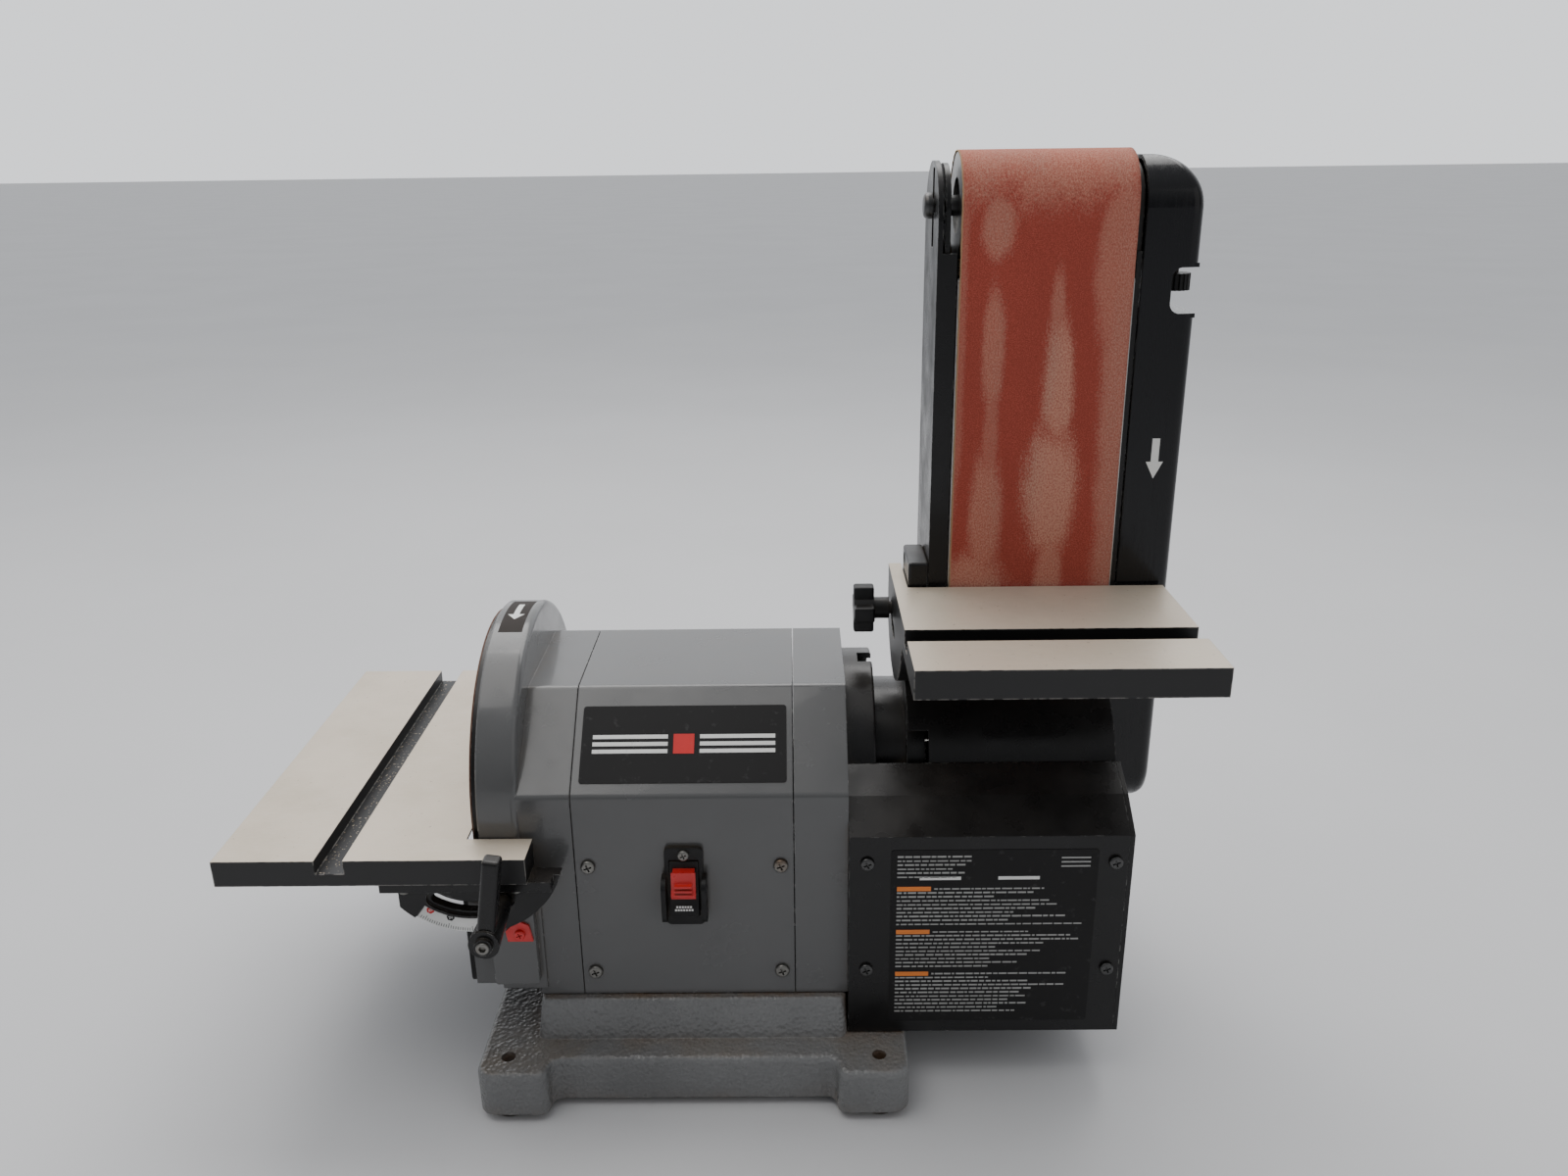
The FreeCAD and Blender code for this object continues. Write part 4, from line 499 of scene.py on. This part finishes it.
def print_shape(mesh, face, outline, index, height):
    """Adds a thin closed film with this outline, in u and v, set on the given face."""
    low = [mesh.verts.new(face.point(u, v, 0.0)) for u, v in outline]
    high = [mesh.verts.new(face.point(u, v, height)) for u, v in outline]
    count = len(outline)
    faces = [mesh.faces.new(high), mesh.faces.new(list(reversed(low)))]
    for i in range(count):
        j = (i + 1) % count
        faces.append(mesh.faces.new((low[i], low[j], high[j], high[i])))
    for made in faces:
        made.material_index = index


def bar(u0, v0, u1, v1):
    return [(u0, v0), (u1, v0), (u1, v1), (u0, v1)]


def arrow(u, v, length, width):
    """Outline of an arrow whose tip is at u, v and which points down v."""
    shaft, head = width * 0.22, length * 0.42
    return [(u, v), (u + width / 2, v + head), (u + shaft, v + head), (u + shaft, v + length),
            (u - shaft, v + length), (u - shaft, v + head), (u - width / 2, v + head)]


# ---- prints ----
def nameplate_art():
    """Generic front plate: a red square between two sets of pale bars, no lettering."""
    face, wide, tall = front_face("nameplate")
    mesh = bmesh.new()
    middle, rise = wide / 2, tall / 2
    margin, gap, half = 7 * MM, 10 * MM, 6.5 * MM
    pitch, half_bar = 4.8 * MM, 1.3 * MM
    for first, last in ((margin, middle - gap), (middle + gap, wide - margin)):
        for row in (-1, 0, 1):
            v = rise + row * pitch
            print_shape(mesh, face, bar(first, v - half_bar, last, v + half_bar), 0, LIFT)
    print_shape(mesh, face, bar(middle - half, rise - half, middle + half, rise + half), 1, LIFT)
    mesh_piece("nameplate_art", mesh, "stand", (PRINT["white"], PRINT["red"]))


LABEL_ROWS = 41                   # rows of fine bars on the rating label
HEAD_ROWS = 6                     # short rows at its top, with a blank row below them
BAND_ROWS = (8, 19, 30)           # rows that start with an orange band, with a blank row above each


def rating_art():
    """Rows of fine bars in three groups under orange bands, standing for small print that is left out."""
    face, wide, tall = front_face("rating_label")
    pick = random.Random(11)
    mesh = bmesh.new()
    margin = 4 * MM
    band, gap = 21 * MM, 2 * MM
    step = (tall - 2.4 * margin) / LABEL_ROWS
    for row in range(LABEL_ROWS):
        v = tall - 1.3 * margin - row * step
        end = pick.uniform(0.45, 0.97) * (wide - margin)
        u = margin
        if row < HEAD_ROWS:
            end = wide * pick.uniform(0.28, 0.44)
        if row == HEAD_ROWS or row + 1 in BAND_ROWS:
            continue
        if row in BAND_ROWS:
            print_shape(mesh, face, bar(u, v - step * 0.35, u + band, v + step * 0.75), 1, LIFT)
            u += band + gap
        thick = step * pick.uniform(0.30, 0.42)
        while u < end:
            length = pick.uniform(1.4, 6.5) * MM
            print_shape(mesh, face, bar(u, v, min(u + length, wide - margin), v + thick), 0, LIFT)
            u += length + pick.uniform(0.6, 1.1) * MM
    for k in range(3):
        v = tall - (1.6 + 0.75 * k) * margin
        print_shape(mesh, face, bar(wide * 0.82, v, wide * 0.96, v + step * 0.35), 0, LIFT)
    for u in (0.14, 0.52):
        v = tall - 5.3 * margin
        print_shape(mesh, face, bar(wide * u, v, wide * (u + 0.2), v + step * 0.8), 2, LIFT)
    inks = (PRINT["small"], PRINT["orange"], PRINT["white"])
    mesh_piece("rating_art", mesh, "stand", inks)


def switch_art():
    """Two short rows of small pale print low on the rocker, standing for lettering that is left out."""
    face, wide, _ = front_face("switch_rocker")
    mesh = bmesh.new()
    pitch, mark, tall = 1.7 * MM, 1.2 * MM, 1.3 * MM
    for v, marks in ((6.2 * MM, 6), (4.2 * MM, 7)):
        for k in range(marks):
            u = wide / 2 + (k - marks / 2) * pitch
            print_shape(mesh, face, bar(u, v, u + mark, v + tall), 0, LIFT)
    mesh_piece("switch_mark", mesh, "switch_rocker", (PRINT["white"],))


def rim_strip(mesh, rim, u_range, v_range, steps, index):
    """A film that follows the rim, laid in short flat lengths."""
    (u0, u1), (start, end) = u_range, v_range
    for k in range(steps):
        v0 = start + (end - start) * k / steps
        v1 = start + (end - start) * (k + 1) / steps
        print_shape(mesh, rim, [(u0, v0), (u0, v1), (u1, v1), (u1, v0)], index, LIFT)


def guard_art():
    """Rotation arrow on the disc guard's rim."""
    x, wide, rear, front = GUARD_DECAL
    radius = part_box("disc_end_housing")[1].z - SHAFT_Z
    mesh = bmesh.new()
    rim_strip(mesh, Rim(x, radius), (0, wide), (rear, front), 20, 0)
    raised = Rim(x, radius + 1.5 * LIFT)
    tip, tail, middle = 15 * MM, -11 * MM, wide / 2
    neck, half_head, half_shaft = tip - 7 * MM, 5.5 * MM, 1.9 * MM
    head = [(middle - half_head, neck), (middle, tip), (middle + half_head, neck)]
    print_shape(mesh, raised, head, 1, LIFT)
    rim_strip(mesh, raised, (middle - half_shaft, middle + half_shaft), (tail, neck), 6, 1)
    mesh_piece("guard_art", mesh, "stand", (worn_print(), PRINT["white"]))


def cover_art():
    """White arrow on the front of the side cover, pointing the way the belt runs."""
    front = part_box("side_cover")[0].y
    x, z = COVER_ARROW
    face = Plane((x, front - LIFT / 2, z), (1, 0, 0), (0, 0, 1))
    mesh = bmesh.new()
    print_shape(mesh, face, arrow(0, 0, 25 * MM, 10.5 * MM), 0, LIFT)
    mesh_piece("cover_art", mesh, "belt_arm", (PRINT["white"],))


def number(text, place, size, turn, body, name, material):
    """A printed figure that stands on the front of the angle scale."""
    curve = bpy.data.curves.new(name, "FONT")
    curve.body = text
    curve.size = size
    curve.align_x = "CENTER"
    curve.align_y = "CENTER"
    curve.extrude = 0.05 * MM
    flat = bpy.data.objects.new(name + "_text", curve)
    bpy.context.scene.collection.objects.link(flat)
    flat.matrix_world = (Matrix.Translation(place) @ Matrix.Rotation(math.pi / 2, 4, "X")
                         @ Matrix.Rotation(turn, 4, "Z"))
    bpy.context.view_layer.update()
    shape = bpy.data.meshes.new_from_object(flat.evaluated_get(bpy.context.evaluated_depsgraph_get()))
    shape.transform(flat.matrix_world)
    bpy.data.objects.remove(flat)
    mesh = bmesh.new()
    mesh.from_mesh(shape)
    mesh_piece(name, mesh, body, (material,))


SCALE_TAGS = ((45, "red"), (30, "black"))         # numbered tags: degrees, colour


def scale_place(degree, radius, front):
    """The scale's face at this many degrees and this far from the pivot, and the angle there."""
    angle = ZERO_ANGLE - math.radians(degree)
    ray = Vector((math.cos(angle), 0, math.sin(angle)))
    start = Vector((PIVOT.x, front, PIVOT.z)) + ray * radius
    return Plane(start, Vector((-ray.z, 0, ray.x)), -ray), angle


def scale_art():
    """Ticks every degree and a half, and numbered tags, on the scale below the disc table."""
    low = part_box("angle_scale")[0]
    front = low.y - LIFT / 2
    outer = PIVOT.z - low.z
    half_tick, long_tick, short_tick = 0.16 * MM, 3.4 * MM, 2.2 * MM
    tag_radius, digit_size = 2.6 * MM, 2.9 * MM
    ticks, tags = bmesh.new(), bmesh.new()
    for step in range(4, 33):
        length = long_tick if step % 10 == 0 else short_tick
        face, _ = scale_place(step * 1.5, outer - 0.6 * MM, front)
        print_shape(ticks, face, bar(-half_tick, 0, half_tick, length), 0, LIFT)
    mesh_piece("scale_ticks", ticks, "disc_table", (PRINT["black"],))
    sixths = [math.pi * k / 3 for k in range(6)]
    for degree, color in SCALE_TAGS:
        face, angle = scale_place(degree, outer - 8.6 * MM, front)
        shape = [(tag_radius * math.cos(a), tag_radius * math.sin(a)) for a in sixths]
        print_shape(tags, face, shape, 0 if color == "red" else 1, LIFT)
        place = face.point(0, 0, 1.2 * LIFT)
        turn = -(angle + math.pi / 2)
        text = str(degree)
        number(text, place, digit_size, turn, "disc_table", "scale_number_" + text, PRINT["white"])
    mesh_piece("scale_tags", tags, "disc_table", (PRINT["red"], PRINT["black"]))


RING_POINTS = 24
# rings of the clamp screw's head, in millimetres: radius, height off the lever's nose, hexagonal or round
SOCKET_HEAD = ((3.9, -0.4, False), (3.9, 0.9, False), (3.5, 1.3, False),
               (2.1, 1.3, True), (1.9, -0.6, True))


def socket_ring(mesh, radius, y, hexagon):
    """A ring of points about the clamp screw's axis, round for its head or hexagonal for its socket."""
    x, z = LOCK_POINT
    ring = []
    for k in range(RING_POINTS):
        turn = 2 * math.pi * k / RING_POINTS
        reach = radius * 0.93 / math.cos(turn % (math.pi / 3) - math.pi / 6) if hexagon else radius
        ring.append(mesh.verts.new((x + reach * math.cos(turn), y, z + reach * math.sin(turn))))
    return ring


def lever_screws():
    """Bright socket-head screw in the nose of each table clamp lever."""
    for node, side in (("front_lock_lever", -1), ("rear_lock_lever", 1)):
        low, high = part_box(node)
        tip_y = low.y if side < 0 else high.y
        mesh = bmesh.new()
        loops = [socket_ring(mesh, radius * MM, tip_y + side * out * MM, hexagon)
                 for radius, out, hexagon in SOCKET_HEAD]
        for first, second in zip(loops, loops[1:]):
            for k in range(RING_POINTS):
                j = (k + 1) % RING_POINTS
                mesh.faces.new((first[k], first[j], second[j], second[k]))
        mesh.faces.new(loops[0])
        mesh.faces.new(loops[-1])
        bmesh.ops.recalc_face_normals(mesh, faces=mesh.faces)
        mesh_piece(node + "_screw", mesh, node, (MADE["zinc"],))


def slot_debris():
    """Small chips of wood and grit lying in the slot of the disc table."""
    low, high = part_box("disc_table")
    slot_low, slot_high = SLOT_X
    floor_z = high.z - SLOT_DEPTH
    pick = random.Random(5)
    mesh = bmesh.new()
    for _ in range(170):
        size = pick.uniform(0.25, 0.8) * MM
        x = pick.uniform(slot_low + MM, slot_high - MM)
        y = pick.uniform(low.y + 3 * MM, high.y - 3 * MM)
        z = floor_z + size * 0.3
        turn = Matrix.Rotation(pick.uniform(0, math.pi), 4, "Z")
        form = Matrix.Diagonal((size * pick.uniform(0.6, 2.4), size, size * 0.5, 1))
        made = bmesh.ops.create_icosphere(mesh, subdivisions=1, radius=0.5,
                                          matrix=Matrix.Translation((x, y, z)) @ turn @ form)
        for vertex in made["verts"]:
            vertex.co.z = max(vertex.co.z, floor_z + 0.02 * MM)
    dust = print_film("slot_dust", CHIP_DUST, 0.9)
    mesh_piece("slot_debris", mesh, "disc_table", (dust,))


# ---- abrasive belt ----
def belt_loop(radius, low_z, high_z, steps, straight):
    """Points round the drum and the idler, each with its outward normal, from the front bottom on."""
    points = []
    for i in range(straight):
        points.append((-radius, low_z + (high_z - low_z) * i / straight, -1.0, 0.0))
    for i in range(steps):
        a = math.pi * i / steps
        points.append((-radius * math.cos(a), high_z + radius * math.sin(a), -math.cos(a), math.sin(a)))
    for i in range(straight):
        points.append((radius, high_z - (high_z - low_z) * i / straight, 1.0, 0.0))
    for i in range(steps):
        a = math.pi * i / steps
        points.append((radius * math.cos(a), low_z - radius * math.sin(a), math.cos(a), -math.sin(a)))
    return points


def abrasive_belt():
    """Cloth belt with a slanted splice and slightly frayed edges."""
    low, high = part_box("abrasive_belt")
    radius = high.y
    loop = belt_loop(radius - 0.03 * MM, low.z + radius, high.z - radius, 40, 90)
    columns = 34
    pick = random.Random(3)
    fray_left = [pick.uniform(0, 0.35) * MM for _ in loop]
    fray_right = [pick.uniform(0, 0.15) * MM for _ in loop]
    mesh = bmesh.new()
    rings = []
    for k, (y, z, ny, nz) in enumerate(loop):
        x0, x1 = low.x + fray_left[k], high.x - fray_right[k]
        outer, inner = [], []
        for c in range(columns + 1):
            x = x0 + (x1 - x0) * c / columns
            from_splice = abs(z - (SPLICE_FOOT + SPLICE_SLOPE * (x - low.x)))
            lift = -0.12 * MM if from_splice < SPLICE_HALF and y < 0 else 0.0
            outer.append(mesh.verts.new((x, y + ny * lift, z + nz * lift)))
            inner.append(mesh.verts.new((x, y - ny * CLOTH_THICK, z - nz * CLOTH_THICK)))
        rings.append((outer, inner))
    for k, (outer, inner) in enumerate(rings):
        next_outer, next_inner = rings[(k + 1) % len(rings)]
        for c in range(columns):
            mesh.faces.new((outer[c], outer[c + 1], next_outer[c + 1], next_outer[c]))
            back = mesh.faces.new((inner[c + 1], inner[c], next_inner[c], next_inner[c + 1]))
            back.material_index = 1
        for c, flip in ((0, False), (columns, True)):
            corners = [outer[c], next_outer[c], next_inner[c], inner[c]]
            side = mesh.faces.new(list(reversed(corners)) if flip else corners)
            side.material_index = 1
    for made in mesh.faces:
        made.smooth = True
    bmesh.ops.recalc_face_normals(mesh, faces=mesh.faces)
    piece = mesh_piece("belt_cloth", mesh, "belt_arm", (MADE["belt_grit"], BACKING))
    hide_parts("abrasive_belt")


def belt_threads():
    """Loose backing threads along the belt's left edge."""
    low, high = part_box("abrasive_belt")
    pick = random.Random(8)
    mesh = bmesh.new()
    radius = high.y
    for _ in range(260):
        z = pick.uniform(low.z + radius, high.z - radius)
        length, width = pick.uniform(0.3, 1.1) * MM, 0.14 * MM
        sag = pick.uniform(-0.5, 0.5) * MM
        y = -radius + 0.3 * MM
        root = (low.x + 0.4 * MM, y, z)
        tip = (low.x - length * 0.6, y + pick.uniform(-0.1, 0.3) * MM, z + sag)
        corners = []
        for place, share in ((root, 1.0), (tip, 0.4)):
            for dy, dz in ((-1, -1), (1, -1), (1, 1), (-1, 1)):
                offset = Vector((0, dy, dz)) * width * share / 2
                corners.append(mesh.verts.new(Vector(place) + offset))
        for i in range(4):
            j = (i + 1) % 4
            mesh.faces.new((corners[i], corners[j], corners[4 + j], corners[4 + i]))
        mesh.faces.new(list(reversed(corners[:4])))
        mesh.faces.new(corners[4:])
    bmesh.ops.recalc_face_normals(mesh, faces=mesh.faces)
    mesh_piece("belt_threads", mesh, "belt_arm", (BACKING,))


# ---- floor, lights and camera ----
def floor():
    mesh = bmesh.new()
    bmesh.ops.create_grid(mesh, x_segments=1, y_segments=1, size=40.0)
    shape = bpy.data.meshes.new("floor")
    mesh.to_mesh(shape)
    mesh.free()
    s = Shader("floor")
    shape.materials.append(s.finish(s.varied((0.62, 0.62, 0.63), 0.02, 2.0), 0.75, specular=0.2))
    ground = bpy.data.objects.new("floor", shape)
    ground.location.z = FLOOR_Z
    bpy.context.scene.collection.objects.link(ground)


def lamp(name, place, target, size, power, color):
    light = bpy.data.lights.new(name, "AREA")
    light.shape = "RECTANGLE"
    light.size, light.size_y = size
    light.energy = power
    light.color = color
    holder = bpy.data.objects.new(name, light)
    holder.location = place
    holder.rotation_euler = (Vector(target) - Vector(place)).to_track_quat("-Z", "Y").to_euler()
    bpy.context.scene.collection.objects.link(holder)


def studio_world():
    """Soft light from all round: dim in front, bright overhead and behind, as before a white wall."""
    world = bpy.data.worlds.new("studio")
    world.use_nodes = True
    tree = world.node_tree
    background = tree.nodes["Background"]
    background.inputs[0].default_value = (0.95, 0.97, 1.0, 1.0)
    where = tree.nodes.new("ShaderNodeTexCoord")
    split = tree.nodes.new("ShaderNodeSeparateXYZ")
    tree.links.new(where.outputs["Generated"], split.inputs[0])
    total = None
    for axis, low, high, gain in ((1, -0.1, 0.8, WALL_LIGHT), (2, 0.1, 1.0, CEILING_LIGHT)):
        fade = tree.nodes.new("ShaderNodeMapRange")
        fade.inputs[1].default_value = low
        fade.inputs[2].default_value = high
        fade.inputs[3].default_value = ROOM_LIGHT if total is None else 0.0
        fade.inputs[4].default_value = fade.inputs[3].default_value + gain
        tree.links.new(split.outputs[axis], fade.inputs[0])
        if total is not None:
            add = tree.nodes.new("ShaderNodeMath")
            tree.links.new(total, add.inputs[0])
            tree.links.new(fade.outputs[0], add.inputs[1])
            fade = add
        total = fade.outputs[0]
    tree.links.new(total, background.inputs[1])
    bpy.context.scene.world = world


def lights():
    lamp("key", (-0.7, -0.3, 2.2), (0, 0, 0.2), (1.6, 1.2), 12.0, (1.0, 0.98, 0.95))
    lamp("fill", (1.5, -1.3, 1.1), (0, 0, 0.3), (1.4, 1.4), 2.5, (1.0, 0.97, 0.93))
    lamp("top", (0.1, 0.9, 2.0), (0, 0, 0.2), (2.0, 1.2), 28.0, (1.0, 0.985, 0.97))


def camera():
    """Camera at the height, tilt and focal length that the object is seen from."""
    ahead = Vector((math.sin(YAW) * math.cos(PITCH), math.cos(YAW) * math.cos(PITCH), -math.sin(PITCH)))
    right = Vector((math.cos(YAW), -math.sin(YAW), 0.0))
    down = ahead.cross(right)
    side = right * math.cos(ROLL) + down * math.sin(ROLL)
    up = right * math.sin(ROLL) - down * math.cos(ROLL)
    eye = bpy.data.cameras.new("camera")
    eye.sensor_width = SENSOR
    eye.lens = FOCAL
    eye.clip_start = 0.01
    holder = bpy.data.objects.new("camera", eye)
    turn = Matrix((side, up, -ahead)).transposed().to_4x4()
    holder.matrix_world = Matrix.Translation(CAMERA_PLACE) @ turn
    bpy.context.scene.collection.objects.link(holder)
    bpy.context.scene.camera = holder


dress_all()
abrasive_belt()
belt_threads()
nameplate_art()
rating_art()
switch_art()
guard_art()
cover_art()
scale_art()
lever_screws()
slot_debris()
floor()
studio_world()
lights()
camera()
